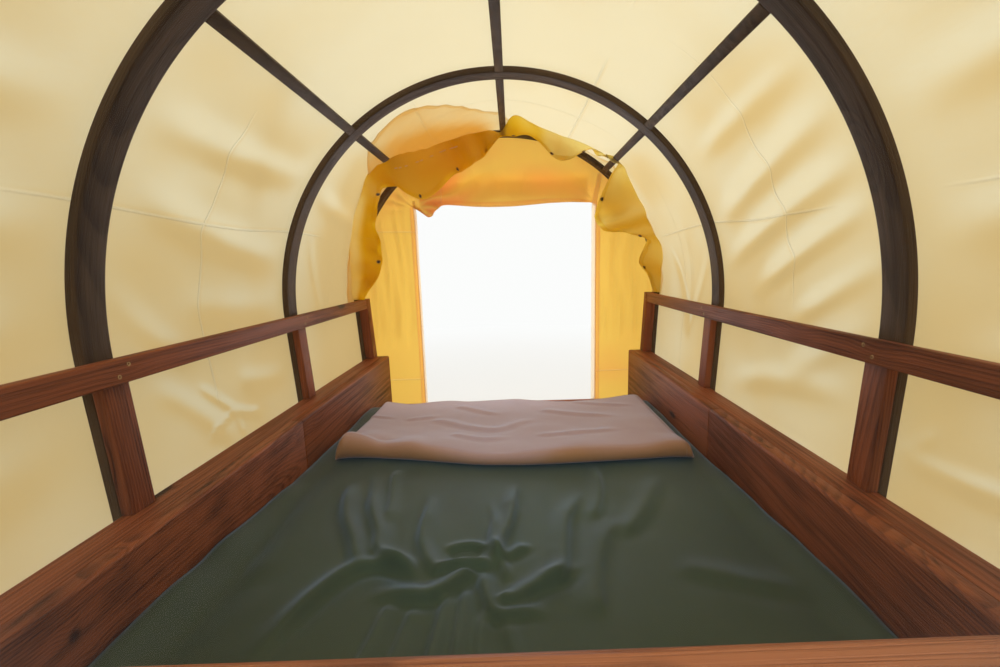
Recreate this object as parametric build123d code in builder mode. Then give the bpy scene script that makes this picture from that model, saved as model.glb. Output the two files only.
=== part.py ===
"""Body of a hooped covered wagon, fitted out as a sleeping cabin.

Two long bearers carry cross bearers and a boarded floor. Each side is a double wall under flat top
timbers, with short posts and a hand rail above. Four bent bows stand in iron staples outside the
side boards, tied by three purlins, and carry the canvas cover. The front end has a boarded half
wall and an arched window. The rear end has a canvas wall with an open doorway. A mattress and a
folded blanket lie on the floor.

Lengths are millimetres. X is across the wagon, Y runs from the window end (-Y) to the door end
(+Y), and Z is up. The origin is on the ground under the middle of the body.
"""
import os
from math import cos, radians, sin, sqrt, tan

from build123d import *

# Bows, measured at their outer face, and the bays between their front faces from the window end
bow_radius = 750
bow_thickness = 20
bow_depth = 62
bay_length = 765
rear_bay_length = 705
leg_flare = radians(3)
bow_foot_z = 215

# Floor, from the ground up
bearer_height = 100
bearer_width = 70
bearer_spread = 860
bearer_bevel = 45
cross_bearer_height = 60
cross_bearer_width = 60
floor_thickness = 25
floor_board_count = 10
floor_board_gap = 3
frame_bolt_radius = 7
frame_bolt_inset_y = 320

# Side walls, from the inner face of the bow legs inwards
wall_height = 307
wall_overhang = 34
top_plate_width = 66
top_plate_height = 75
top_plate_round = 4
inner_board_thickness = 35
inner_board_chamfer = 5
board_joint_gap = 1.5
board_joint_setback = 230
side_board_thickness = 18
side_board_count = 3
side_board_gap = 2
side_board_chamfer = 3

# Arch centre above the wall tops
arch_rise = 308

# Posts and hand rails
post_thickness = 22
post_depth = 57
post_top_setback = 26
rail_thickness = 20
rail_height = 46
rail_drop = 14
rail_edge_radius = 4

# Purlins between the bows, by their angle from the ridge
purlin_width = 27
purlin_setback = 1.5
side_purlin_angle = 40

# Iron staples that hold the legs of the bows, their middle above the floor
staple_rise = 62
staple_height = 26
staple_thickness = 4
staple_ear = 22
staple_hole_radius = 3.5

# Window end
front_board_thickness = 20
front_board_setback = 6.5
front_plank_width = 109
front_groove = 3
sill_thickness = 22
sill_depth = 94
sill_nosing = 8
window_frame_width = 40
window_frame_thickness = 30
window_frame_setback = 12
pane_thickness = 4

# Door end, with the head of the doorway below the crown of the bows
tail_board_height = 45
tail_board_thickness = 26
tail_board_round = 10
door_width = 890
door_head_depth = 240
door_corner_radius = 60
rear_hem_rise = 15
door_roll_radius = 45
door_roll_length = 830
door_roll_drop = 35
door_curtain_lap = 60

# Canvas
canvas_thickness = 2
cover_hem_rise = 115
cover_lap = 12
flap_top_drop = 60
flap_side_drop = 150
flap_end_angle = 4

# Bedding
mattress_length = 1900
mattress_height = 160
mattress_front_gap = 10
mattress_side_gap = 14
mattress_round = 30
blanket_side_gap = 64
blanket_front_reach = 670
blanket_length = 630
blanket_fold_height = 78
blanket_fold_depth = 85
blanket_middle_height = 50
blanket_middle_depth = 210
blanket_end_height = 30
blanket_round = 24

# Clearance between soft or curved pieces and what they lie on
fit_gap = 0.3

# Levels that follow from the sizes above
floor_z = bearer_height + cross_bearer_height + floor_thickness
wall_top_z = floor_z + wall_height
arch_z = wall_top_z + arch_rise
rail_top_z = arch_z - rail_drop
rail_bottom_z = rail_top_z - rail_height
post_top_z = rail_top_z - post_top_setback
sill_top_z = rail_top_z + sill_thickness
staple_z = floor_z + staple_rise
cover_hem_z = floor_z + cover_hem_rise
rear_hem_z = floor_z + rear_hem_rise
door_top_z = arch_z + bow_radius - door_head_depth
mattress_top_z = floor_z + mattress_height

# Lengths along the wagon, with everything from the cover's lap to the door roll centred on the origin
frame_length = 2 * bay_length + rear_bay_length + bow_depth
curtain_reach = 2 * fit_gap + canvas_thickness + 2 * door_roll_radius
overall_length = cover_lap + frame_length + 2 * wall_overhang + curtain_reach
wall_front_y = cover_lap - overall_length / 2
wall_rear_y = wall_front_y + frame_length + 2 * wall_overhang
wall_length = wall_rear_y - wall_front_y
wall_middle_y = (wall_front_y + wall_rear_y) / 2
front_y = wall_front_y + wall_overhang
bow_faces_y = [front_y + reach for reach in (0, bay_length, 2 * bay_length, 2 * bay_length + rear_bay_length)]
front_board_y = front_y + front_board_setback
front_board_back_y = front_board_y + front_board_thickness
last_post_back_y = bow_faces_y[-1] + post_depth
rear_wall_y = wall_rear_y + fit_gap
curtain_y = rear_wall_y + canvas_thickness + fit_gap
mattress_front_y = front_board_back_y + mattress_front_gap
mattress_rear_y = mattress_front_y + mattress_length

# Lines of the bow legs and of the pieces inside them, by their radius
bow_inner_radius = bow_radius - bow_thickness
post_inner_radius = bow_inner_radius - post_thickness
rail_inner_radius = post_inner_radius - rail_thickness


def leg_x(radius, z):
    """Distance from the middle plane to the straight leg of a bow line of this radius, at height z."""
    return radius / cos(leg_flare) - tan(leg_flare) * (arch_z - z)


plate_inner_x = leg_x(bow_inner_radius, wall_top_z) - top_plate_width
half_inside = plate_inner_x - inner_board_thickness


def cross_plane(y):
    """Plane across the wagon at y. A negative extrusion from it runs towards the door end."""
    return Plane.XZ.offset(-y)


def hoop_profile(outer, inner, foot_z):
    """Draw the closed band between two bow lines, from foot to foot over the arch."""
    with BuildLine() as outline:
        ends = []
        for radius in (outer, inner):
            shoulder_x = radius * cos(leg_flare)
            shoulder_z = arch_z - radius * sin(leg_flare)
            foot_x = leg_x(radius, foot_z)
            Line((-foot_x, foot_z), (-shoulder_x, shoulder_z))
            ThreePointArc((-shoulder_x, shoulder_z), (0, arch_z + radius), (shoulder_x, shoulder_z))
            Line((shoulder_x, shoulder_z), (foot_x, foot_z))
            ends.append(foot_x)
        Line((-ends[0], foot_z), (-ends[1], foot_z))
        Line((ends[0], foot_z), (ends[1], foot_z))
    make_face(outline.edges())


def flared_profile(side, outer, inner, bottom_z, top_z):
    """Draw the section between two bow lines on one side wall, as it leans with the legs."""
    with BuildLine() as outline:
        Polyline(
            (side * leg_x(inner, bottom_z), bottom_z),
            (side * leg_x(outer, bottom_z), bottom_z),
            (side * leg_x(outer, top_z), top_z),
            (side * leg_x(inner, top_z), top_z),
            close=True,
        )
    make_face(outline.edges())


def save(piece, name):
    """Label a finished piece and write it to its own file."""
    piece.part.label = name
    export_step(piece.part, f"parts/{name}.step")


os.makedirs("parts", exist_ok=True)
sides = (("left", -1), ("right", 1))

# Long bearers, bevelled under their ends and drilled for the running gear
for name, side in sides:
    with BuildPart() as bearer:
        with BuildSketch(Plane.XY):
            with Locations((side * bearer_spread / 2, wall_middle_y)):
                Rectangle(bearer_width, wall_length)
        extrude(amount=bearer_height)
        lower_end_edges = bearer.edges().filter_by(Axis.X).group_by(Axis.Z)[0]
        chamfer(lower_end_edges, bearer_bevel)
        with Locations(Plane.XY.offset(bearer_height)):
            with Locations((side * bearer_spread / 2, wall_middle_y)):
                with GridLocations(0, wall_length - 2 * frame_bolt_inset_y, 1, 2):
                    Hole(frame_bolt_radius)
    save(bearer, f"bearer_{name}")

# Cross bearers, one under each bow
with BuildPart() as cross_bearers:
    with BuildSketch(Plane.XY.offset(bearer_height)):
        for face_y in bow_faces_y:
            with Locations((0, face_y + bow_depth / 2)):
                Rectangle(2 * leg_x(bow_inner_radius, bearer_height), cross_bearer_width)
    extrude(amount=cross_bearer_height)
save(cross_bearers, "cross_bearers")

# Floor boards, laid along the wagon
floor_width = 2 * leg_x(bow_inner_radius, floor_z - floor_thickness)
floor_board_pitch = (floor_width + floor_board_gap) / floor_board_count
with BuildPart() as floor_boards:
    with BuildSketch(Plane.XY.offset(floor_z - floor_thickness)):
        with Locations((0, wall_middle_y)):
            with GridLocations(floor_board_pitch, 0, floor_board_count, 1):
                Rectangle(floor_board_pitch - floor_board_gap, wall_length)
    extrude(amount=floor_thickness)
save(floor_boards, "floor_boards")

# Side walls: inner board in two lengths and flat top plate, both ending at the last post, and outer boards
# that run on past the last staple and lean with the legs
joint_y = bow_faces_y[2] - board_joint_setback
inner_board_runs = (
    (wall_front_y, joint_y - board_joint_gap / 2),
    (joint_y + board_joint_gap / 2, last_post_back_y),
)
outer_face_step = (wall_height - top_plate_height) / side_board_count
for name, side in sides:
    with BuildPart() as inner_board:
        for run_start, run_end in inner_board_runs:
            with BuildSketch(Plane.XY.offset(floor_z)):
                middle_x = side * (half_inside + inner_board_thickness / 2)
                with Locations((middle_x, (run_start + run_end) / 2)):
                    Rectangle(inner_board_thickness, run_end - run_start)
            extrude(amount=wall_height)
        top_edges = inner_board.edges().filter_by(Axis.Y).group_by(Axis.Z)[-1]
        inside_edges = top_edges.group_by(Axis.X)[0 if side > 0 else -1]
        chamfer(inside_edges, inner_board_chamfer)
    save(inner_board, f"inner_board_{name}")

    with BuildPart() as top_plate:
        with BuildSketch(cross_plane(wall_front_y)):
            plate_bottom_z = wall_top_z - top_plate_height
            with BuildLine():
                Polyline(
                    (side * plate_inner_x, plate_bottom_z),
                    (side * leg_x(bow_inner_radius, plate_bottom_z), plate_bottom_z),
                    (side * leg_x(bow_inner_radius, wall_top_z), wall_top_z),
                    (side * plate_inner_x, wall_top_z),
                    close=True,
                )
            make_face()
        extrude(amount=-(last_post_back_y - wall_front_y))
    save(top_plate, f"top_plate_{name}")

    with BuildPart() as side_boards:
        for index in range(side_board_count):
            board_bottom_z = floor_z + index * outer_face_step
            board_top_z = board_bottom_z + outer_face_step - side_board_gap
            with BuildSketch(cross_plane(wall_front_y)):
                flared_profile(
                    side, bow_inner_radius, bow_inner_radius - side_board_thickness, board_bottom_z, board_top_z
                )
            extrude(amount=-wall_length)
        outer_edges = side_boards.edges().filter_by(Axis.Y).filter_by(
            lambda edge: abs(abs(edge.center().X) - leg_x(bow_inner_radius, edge.center().Z)) < 0.01
        )
        chamfer(outer_edges, side_board_chamfer)
    save(side_boards, f"side_boards_{name}")

# Posts on the top plates, one inside each bow leg. The last one is thicker, flush with the rail that it ends
for name, side in sides:
    for index, face_y in enumerate(bow_faces_y):
        ends_rail = face_y == bow_faces_y[-1]
        inner_radius = rail_inner_radius if ends_rail else post_inner_radius
        top_z = rail_top_z if ends_rail else post_top_z
        with BuildPart() as post:
            with BuildSketch(cross_plane(face_y)):
                hoop_profile(bow_inner_radius, inner_radius, wall_top_z)
                with Locations((side * bow_radius / 2, (wall_top_z + top_z) / 2)):
                    Rectangle(bow_radius, top_z - wall_top_z, mode=Mode.INTERSECT)
            extrude(amount=-post_depth)
        save(post, f"post_{name}_{index + 1}")

# Hand rails on the inner faces of the posts, butted against the last one
rail_length = bow_faces_y[-1] - front_board_back_y
for name, side in sides:
    with BuildPart() as rail:
        with BuildSketch(cross_plane(front_board_back_y)):
            flared_profile(side, post_inner_radius, rail_inner_radius, rail_bottom_z, rail_top_z)
        extrude(amount=-rail_length)
        inner_edges = rail.edges().filter_by(Axis.Y).group_by(Axis.X)
        exposed_edges = inner_edges[0] + inner_edges[1] if side > 0 else inner_edges[-1] + inner_edges[-2]
        fillet(exposed_edges, rail_edge_radius)
    save(rail, f"rail_{name}")

# Bows, bent in one piece from foot to foot
for index, face_y in enumerate(bow_faces_y):
    with BuildPart() as bow:
        with BuildSketch(cross_plane(face_y)):
            hoop_profile(bow_radius, bow_inner_radius, bow_foot_z)
        extrude(amount=-bow_depth)
    save(bow, f"bow_{index + 1}")

# Purlins, in lengths that butt against the bows and lie just below their outer faces
purlins = (("ridge", 0), ("left", -side_purlin_angle), ("right", side_purlin_angle))
purlin_depth = bow_thickness - purlin_setback
for name, angle in purlins:
    with BuildPart() as purlin:
        for face_y, next_face_y in zip(bow_faces_y, bow_faces_y[1:]):
            with BuildSketch(cross_plane(face_y + bow_depth)):
                with Locations(Location((0, arch_z), -angle)):
                    with Locations((0, bow_inner_radius + purlin_depth / 2)):
                        Rectangle(purlin_width, purlin_depth)
            extrude(amount=-(next_face_y - face_y - bow_depth))
    save(purlin, f"purlin_{name}")

# Iron staples round the bow legs, screwed to the side boards below the cover's hem
staple_half_gap = bow_depth / 2 + fit_gap
staple_reach = bow_thickness + fit_gap
ear_centre = staple_half_gap + staple_thickness + staple_ear / 2
with BuildPart() as bow_staples:
    for side in (-1, 1):
        for face_y in bow_faces_y:
            face_x = side * leg_x(bow_inner_radius, staple_z)
            up_the_leg = (side * sin(leg_flare), 0, cos(leg_flare))
            leg_plane = Plane(
                origin=(face_x, face_y + bow_depth / 2, staple_z), x_dir=(0, side, 0), z_dir=up_the_leg
            )
            with BuildSketch(leg_plane):
                with BuildLine():
                    outer_half = staple_half_gap + staple_thickness
                    Polyline(
                        (-outer_half - staple_ear, 0),
                        (-staple_half_gap, 0),
                        (-staple_half_gap, -staple_reach),
                        (staple_half_gap, -staple_reach),
                        (staple_half_gap, 0),
                        (outer_half + staple_ear, 0),
                        (outer_half + staple_ear, -staple_thickness),
                        (outer_half, -staple_thickness),
                        (outer_half, -staple_reach - staple_thickness),
                        (-outer_half, -staple_reach - staple_thickness),
                        (-outer_half, -staple_thickness),
                        (-outer_half - staple_ear, -staple_thickness),
                        close=True,
                    )
                make_face()
            extrude(amount=staple_height / 2, both=True)
            ear_plane = Plane(
                origin=leg_plane.origin, x_dir=(0, side, 0), z_dir=leg_plane.y_dir * -1
            )
            with Locations(ear_plane.offset(staple_thickness)):
                with Locations((-ear_centre, 0), (ear_centre, 0)):
                    Hole(staple_hole_radius, depth=staple_thickness)
save(bow_staples, "bow_staples")

# Window end: grooved half wall between the posts
with BuildPart() as front_board:
    with BuildSketch(cross_plane(front_board_y)):
        with BuildLine():
            Polyline(
                (-half_inside, floor_z),
                (half_inside, floor_z),
                (half_inside, wall_top_z),
                (leg_x(post_inner_radius, wall_top_z), wall_top_z),
                (leg_x(post_inner_radius, rail_top_z), rail_top_z),
                (-leg_x(post_inner_radius, rail_top_z), rail_top_z),
                (-leg_x(post_inner_radius, wall_top_z), wall_top_z),
                (-half_inside, wall_top_z),
                close=True,
            )
        make_face()
    extrude(amount=-front_board_thickness)
    groove_count = int(2 * half_inside / front_plank_width)
    for groove_y in (front_board_y, front_board_back_y):
        with BuildSketch(Plane.XY.offset(floor_z)):
            with Locations((0, groove_y)):
                with GridLocations(front_plank_width, 0, groove_count, 1):
                    with Locations(Location((0, 0), 45)):
                        Rectangle(front_groove, front_groove)
        extrude(amount=rail_top_z - floor_z, mode=Mode.SUBTRACT)
save(front_board, "front_board")

# Window sill across the half wall, rounded towards the bed
sill_half = sqrt(bow_inner_radius**2 - (arch_z - rail_top_z) ** 2) - fit_gap
with BuildPart() as window_sill:
    with BuildSketch(Plane.XY.offset(rail_top_z)):
        with Locations((0, front_y + sill_depth / 2)):
            Rectangle(2 * sill_half, sill_depth)
    extrude(amount=sill_thickness)
    nosing_edges = window_sill.edges().filter_by(Axis.X).group_by(Axis.Y)[-1]
    fillet(nosing_edges, sill_nosing)
save(window_sill, "window_sill")

# Arched window frame and clear pane, standing on the sill
frame_outer_radius = bow_inner_radius - fit_gap
frame_inner_radius = frame_outer_radius - window_frame_width
frame_y = front_y + window_frame_setback
pane_y = frame_y + (window_frame_thickness - pane_thickness) / 2
arch_height = bow_radius + rail_drop
above_sill = Location((0, sill_top_z + arch_height / 2))
with BuildPart() as window_frame:
    with BuildSketch(cross_plane(frame_y)):
        with Locations((0, arch_z)):
            Circle(frame_outer_radius)
            Circle(frame_inner_radius, mode=Mode.SUBTRACT)
        with Locations(above_sill):
            Rectangle(2 * bow_radius, arch_height, mode=Mode.INTERSECT)
    extrude(amount=-window_frame_thickness)
save(window_frame, "window_frame")

with BuildPart() as window_pane:
    with BuildSketch(cross_plane(pane_y)):
        with Locations((0, arch_z)):
            Circle(frame_inner_radius - fit_gap)
        with Locations(above_sill):
            Rectangle(2 * bow_radius, arch_height, mode=Mode.INTERSECT)
    extrude(amount=-pane_thickness)
save(window_pane, "window_pane")

# Door end: low tail board across the ends of the inner boards, and the canvas wall with its open doorway
with BuildPart() as tail_board:
    with BuildSketch(Plane.XY.offset(floor_z)):
        with Locations((0, last_post_back_y + tail_board_thickness / 2)):
            Rectangle(2 * plate_inner_x, tail_board_thickness)
    extrude(amount=tail_board_height)
    fillet(tail_board.edges().filter_by(Axis.X).group_by(Axis.Z)[-1], tail_board_round)
save(tail_board, "tail_board")

with BuildPart() as rear_wall:
    with BuildSketch(cross_plane(rear_wall_y)):
        with BuildLine():
            shoulder_x = bow_radius * cos(leg_flare)
            shoulder_z = arch_z - bow_radius * sin(leg_flare)
            hem_x = leg_x(bow_radius, rear_hem_z)
            Line((-hem_x, rear_hem_z), (-shoulder_x, shoulder_z))
            ThreePointArc((-shoulder_x, shoulder_z), (0, arch_z + bow_radius), (shoulder_x, shoulder_z))
            Line((shoulder_x, shoulder_z), (hem_x, rear_hem_z))
            Line((hem_x, rear_hem_z), (-hem_x, rear_hem_z))
        make_face()
        doorway_height = 2 * (door_top_z - rear_hem_z)
        with Locations((0, rear_hem_z)):
            RectangleRounded(door_width, doorway_height, door_corner_radius, mode=Mode.SUBTRACT)
    extrude(amount=-canvas_thickness)
save(rear_wall, "rear_wall")

# Door curtain, sewn above the doorway and rolled up outside it
with BuildPart() as door_curtain:
    with BuildSketch(Plane.YZ.offset(-door_roll_length / 2)):
        with Locations((curtain_y + door_roll_radius, door_top_z - door_roll_drop)):
            Circle(door_roll_radius)
        with Locations((curtain_y, door_top_z - door_roll_drop)):
            curtain_height = door_roll_drop + door_curtain_lap
            Rectangle(canvas_thickness, curtain_height, align=(Align.MIN, Align.MIN))
    extrude(amount=door_roll_length)
save(door_curtain, "door_curtain")

# Cover over the bows, open below its hems
cover_inner_radius = bow_radius + fit_gap
with BuildPart() as cover:
    with BuildSketch(cross_plane(wall_front_y - cover_lap)):
        hoop_profile(cover_inner_radius + canvas_thickness, cover_inner_radius, cover_hem_z)
    extrude(amount=-(wall_length + 2 * cover_lap))
save(cover, "cover")

# Loose skirt of the cover, hanging in front of the last bow and deeper at the sides
flap_outer_radius = bow_inner_radius - fit_gap
flap_inner_radius = flap_outer_radius - flap_side_drop
flap_end_z = arch_z + flap_outer_radius * sin(radians(flap_end_angle))
above_flap_ends = Location((0, flap_end_z + bow_radius / 2))
with BuildPart() as inner_flap:
    with BuildSketch(cross_plane(bow_faces_y[-1] - fit_gap)):
        with Locations((0, arch_z)):
            Circle(flap_outer_radius)
        with Locations((0, arch_z + flap_side_drop - flap_top_drop)):
            Circle(flap_inner_radius, mode=Mode.SUBTRACT)
        with Locations(above_flap_ends):
            Rectangle(2 * bow_radius, bow_radius, mode=Mode.INTERSECT)
    extrude(amount=canvas_thickness)
save(inner_flap, "inner_flap")

# Mattress, with rounded long edges and corners
with BuildPart() as mattress:
    with BuildSketch(Plane.XY.offset(floor_z)):
        with Locations((0, (mattress_front_y + mattress_rear_y) / 2)):
            RectangleRounded(2 * (half_inside - mattress_side_gap), mattress_length, 2 * mattress_round)
    extrude(amount=mattress_height)
    fillet(mattress.edges().group_by(Axis.Z)[-1], mattress_round)
save(mattress, "mattress")

# Blanket, folded on the door end of the bed, with its thick fold towards the window
blanket_bottom_z = mattress_top_z + fit_gap
blanket_front_y = mattress_rear_y - blanket_front_reach
blanket_rear_y = blanket_front_y + blanket_length
blanket_width = 2 * (half_inside - blanket_side_gap)
with BuildPart() as blanket:
    with BuildSketch(Plane.YZ.offset(-blanket_width / 2)):
        with BuildLine():
            Polyline(
                (blanket_front_y, blanket_bottom_z),
                (blanket_rear_y, blanket_bottom_z),
                (blanket_rear_y, blanket_bottom_z + blanket_end_height),
                (blanket_front_y + blanket_middle_depth, blanket_bottom_z + blanket_middle_height),
                (blanket_front_y + blanket_fold_depth, blanket_bottom_z + blanket_fold_height),
                (blanket_front_y, blanket_bottom_z + blanket_fold_height),
                close=True,
            )
        make_face()
    extrude(amount=blanket_width)
    fillet(blanket.edges().filter_by(Axis.X).group_by(Axis.Z)[-1], blanket_round)
save(blanket, "blanket")
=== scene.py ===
"""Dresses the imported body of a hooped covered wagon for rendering.

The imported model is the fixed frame, in metres: X across the wagon, Y from the window end to the door
end, Z up. Timber gets rounded edges, grain and knots. Canvas, curtain, sheet and blanket are surfaces
worked out with numpy, and each replaces the plain solid that holds its place.
"""

import bmesh
import bpy
import numpy as np
from mathutils import Matrix, Vector


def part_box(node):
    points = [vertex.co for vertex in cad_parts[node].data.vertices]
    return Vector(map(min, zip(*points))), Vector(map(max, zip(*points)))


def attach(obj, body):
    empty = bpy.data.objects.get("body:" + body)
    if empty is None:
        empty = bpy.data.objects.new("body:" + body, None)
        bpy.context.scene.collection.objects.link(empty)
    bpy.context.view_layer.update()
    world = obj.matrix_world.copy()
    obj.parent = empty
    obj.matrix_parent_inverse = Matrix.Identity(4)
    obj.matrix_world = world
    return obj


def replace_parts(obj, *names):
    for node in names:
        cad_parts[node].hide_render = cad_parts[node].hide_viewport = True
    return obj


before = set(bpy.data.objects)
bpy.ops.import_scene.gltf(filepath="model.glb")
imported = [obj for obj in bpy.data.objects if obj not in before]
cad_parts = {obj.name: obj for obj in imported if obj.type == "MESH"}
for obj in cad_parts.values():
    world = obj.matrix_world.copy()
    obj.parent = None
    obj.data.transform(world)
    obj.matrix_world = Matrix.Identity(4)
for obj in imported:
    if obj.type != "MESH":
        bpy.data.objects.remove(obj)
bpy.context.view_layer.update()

bl_info = {
    "name": "Covered wagon body",
    "version": (1, 0, 0),
    "blender": (4, 5, 0),
    "location": "3D View > Sidebar > Wagon",
    "description": "Timber, canvas and bedding of a hooped covered wagon body",
    "category": "Add Mesh",
}

# Lines of the body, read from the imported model
BOWS = ("bow_1", "bow_2", "bow_3", "bow_4")
BODY = "root"
bow_low, bow_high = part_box("bow_1")
BOW_RADIUS = bow_high.x
BOW_FOOT_Z = bow_low.z
ARCH_Z = bow_high.z - BOW_RADIUS
BOW_FACES = [(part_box(name)[0].y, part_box(name)[1].y) for name in BOWS]
FRONT_Y = BOW_FACES[0][0]
LEG_FLARE = np.radians(3)
BOW_THICKNESS = 0.020
PURLIN_ANGLE = np.radians(40)

# Where the photograph was taken from: across, from the first bow's near face, and above the arch's centre
EYE = np.array([0.0255, -0.0486, 0.1384])


# Numbers over arrays


def ease(t):
    """3t^2 - 2t^3, which runs from 0 to 1 and is level at both."""
    return t * t * (3 - 2 * t)


def smooth_step(value, low, high):
    """0 below low, 1 above high and eased between them."""
    return ease(np.clip((np.asarray(value) - low) / (high - low), 0, 1))


def bell(distance, width):
    """exp(-(distance / width)^2)."""
    return np.exp(-((distance / width) ** 2))


def signed_power(value, exponent):
    """Power of the size of a value, with the value's sign."""
    return np.sign(value) * np.abs(value) ** exponent


def grid(down, across):
    """Every pairing of two runs of numbers, as two tables."""
    return np.meshgrid(down, across, indexing="ij")


def full_turn(count):
    """Angles evenly spaced round a circle, the last one short of the first."""
    return np.linspace(0, 2 * np.pi, count + 1)[:-1]


def smooth_noise(u, v, seed, size):
    """Random heights on a lattice of the given spacing, eased between its corners; -1 to 1.

    The added 512.3 and 512.7 keep the places on the lattice above zero.
    """
    cells = 64
    table = np.random.default_rng(seed).uniform(-1, 1, (cells, cells))
    u, v = np.asarray(u) / size + 512.3, np.asarray(v) / size + 512.7
    iu, iv = np.floor(u).astype(int), np.floor(v).astype(int)
    fu, fv = ease(u - iu), ease(v - iv)
    i, j = iu % cells, iv % cells
    i2, j2 = (iu + 1) % cells, (iv + 1) % cells
    near = table[i, j] * (1 - fu) + table[i2, j] * fu
    far = table[i, j2] * (1 - fu) + table[i2, j2] * fu
    return near * (1 - fv) + far * fv


def fold_field(u, v, folds):
    """Height of a set of folds, each a curved ridge that fades at its ends.

    Across a fold the height is (1 - q / 3) exp(-q) with q = (distance / width)^2.
    """
    height = np.zeros(np.broadcast(u, v).shape)
    for u0, v0, u1, v1, bend, width, rise in folds:
        du, dv = u1 - u0, v1 - v0
        length = np.hypot(du, dv)
        along = ((u - u0) * du + (v - v0) * dv) / length**2
        across = ((u - u0) * -dv + (v - v0) * du) / length
        across = across - bend * 4 * along * (1 - along)
        ends = smooth_step(along, -0.12, 0.2) * (1 - smooth_step(along, 0.75, 1.15))
        q = (across / width) ** 2
        height = height + rise * (1 - q / 3) * np.exp(-q) * ends
    return height


def spaced(low, high, count, dense, ratio=2.5):
    """Rising numbers from low to high, closer together by the ratio between the two dense limits."""
    fine = np.linspace(low, high, 2000)
    blend = 0.06 * (high - low)
    start, end = dense
    share = smooth_step(fine, start - blend, start) * (1 - smooth_step(fine, end, end + blend))
    run = np.cumsum(1 + (ratio - 1) * share)
    return np.interp(np.linspace(run[0], run[-1], count), run, fine)


def spline(points, count):
    """Points along a Catmull-Rom curve through the given ones, evenly spaced in its parameter."""
    p = np.asarray(points, float)
    p = np.vstack([2 * p[0] - p[1], p, 2 * p[-1] - p[-2]])
    t = np.linspace(0, len(p) - 3, count)
    i = np.minimum(t.astype(int), len(p) - 4)
    t = (t - i)[:, None]
    a, b, c, d = p[i], p[i + 1], p[i + 2], p[i + 3]
    return 0.5 * (2 * b + (c - a) * t + (2 * a - 5 * b + 4 * c - d) * t**2 + (3 * b - a - 3 * c + d) * t**3)


# Shape across a fold of the bedding, in widths: its soft and its steep side, and the dip at its foot
SOFT_SIDE, STEEP_SIDE = 1.1, 0.42
DIP_DEPTH, DIP_PLACE, DIP_WIDTH = 0.16, 1.1, 0.5


def fold_curves(x, y, curves, towards):
    """Height of folds along curves: soft on the side towards a point and steep on the other.

    Across each curve the height is exp(-(d / w)^2), w being wider on the soft side, less a dip at the foot of
    the steep side. It fades at the curve's ends.
    """
    height = np.zeros_like(x)
    for width, rise, *points in curves:
        line = spline(points, 8 * len(points))
        step = np.gradient(line, axis=0)
        step = step / np.linalg.norm(step, axis=1, keepdims=True)
        dx, dy = x[..., None] - line[:, 0], y[..., None] - line[:, 1]
        near = np.argmin(dx * dx + dy * dy, axis=-1)
        dx, dy = x - line[near, 0], y - line[near, 1]
        tx, ty = step[near, 0], step[near, 1]
        gap = np.linalg.norm(np.diff(line, axis=0), axis=1).mean()
        along = (near + np.clip((dx * tx + dy * ty) / gap, -1, 1)) / (len(line) - 1)
        middle = len(line) // 2
        to_x, to_y = towards[0] - line[middle, 0], towards[1] - line[middle, 1]
        facing = to_y * step[middle, 0] - to_x * step[middle, 1]
        d = (dy * tx - dx * ty) * np.sign(facing)
        ridge = bell(d, width * np.where(d > 0, SOFT_SIDE, STEEP_SIDE))
        dip = DIP_DEPTH * bell(d + DIP_PLACE * width, DIP_WIDTH * width)
        fade = smooth_step(along, 0.0, 0.16) * (1 - smooth_step(along, 0.66, 1.0))
        height = height + rise * (ridge - dip) * fade
    return height


def hoop(s, radius):
    """Points and outward normals of a bow line at arc length s from the ridge: an arc and straight legs."""
    s = np.asarray(s, float)
    turn = np.pi / 2 + LEG_FLARE
    side = np.sign(s)
    angle = np.minimum(np.abs(s) / radius, turn)
    down = np.maximum(np.abs(s) - turn * radius, 0)
    x = radius * np.sin(angle) + down * np.cos(turn)
    z = ARCH_Z + radius * np.cos(angle) - down * np.sin(turn)
    return side * x, z, side * np.sin(angle), np.cos(angle)


def hoop_length(radius, foot_z):
    """Arc length of a bow line from the ridge to a foot at this height."""
    turn = np.pi / 2 + LEG_FLARE
    return turn * radius + (ARCH_Z + radius * np.cos(turn) - foot_z) / np.sin(turn)


def on_hoop(s, y, radius, off=0.0):
    """Points at arc length s and depth y, and this far outside a bow line of the given radius."""
    x, z, nx, nz = hoop(s, radius)
    return np.stack([x + nx * off, y, z + nz * off], -1)


def run_along(line):
    """Length along a line up to each of its points."""
    return np.concatenate([[0], np.cumsum(np.linalg.norm(np.diff(line, axis=0), axis=1))])


def mean_run(points):
    """Mean length down a grid's columns up to each of its rows."""
    return np.concatenate([[0], np.cumsum(np.linalg.norm(np.diff(points, axis=0), axis=-1).mean(1))])


# Meshes


def link(thing):
    """Link an object to the scene."""
    bpy.context.scene.collection.objects.link(thing)
    return thing


def new_piece(name, mesh):
    """Link a mesh as a piece that rides on the body."""
    piece = link(bpy.data.objects.new(name, mesh))
    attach(piece, BODY)
    return piece


def add_vectors(mesh, name, values):
    """Store a vector for each vertex."""
    layer = mesh.attributes.new(name, "FLOAT_VECTOR", "POINT")
    layer.data.foreach_set("vector", np.ascontiguousarray(values, np.float32).ravel())


def grid_faces(rows, columns, closed_rows=False, closed_columns=False):
    """Corner indices of the quads of a grid, closed round either way where asked."""
    i, j = grid(
        np.arange(rows if closed_rows else rows - 1), np.arange(columns if closed_columns else columns - 1)
    )
    i2, j2 = (i + 1) % rows, (j + 1) % columns
    corners = [i * columns + j, i2 * columns + j, i2 * columns + j2, i * columns + j2]
    return np.stack(corners, -1).reshape(-1, 4)


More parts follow.
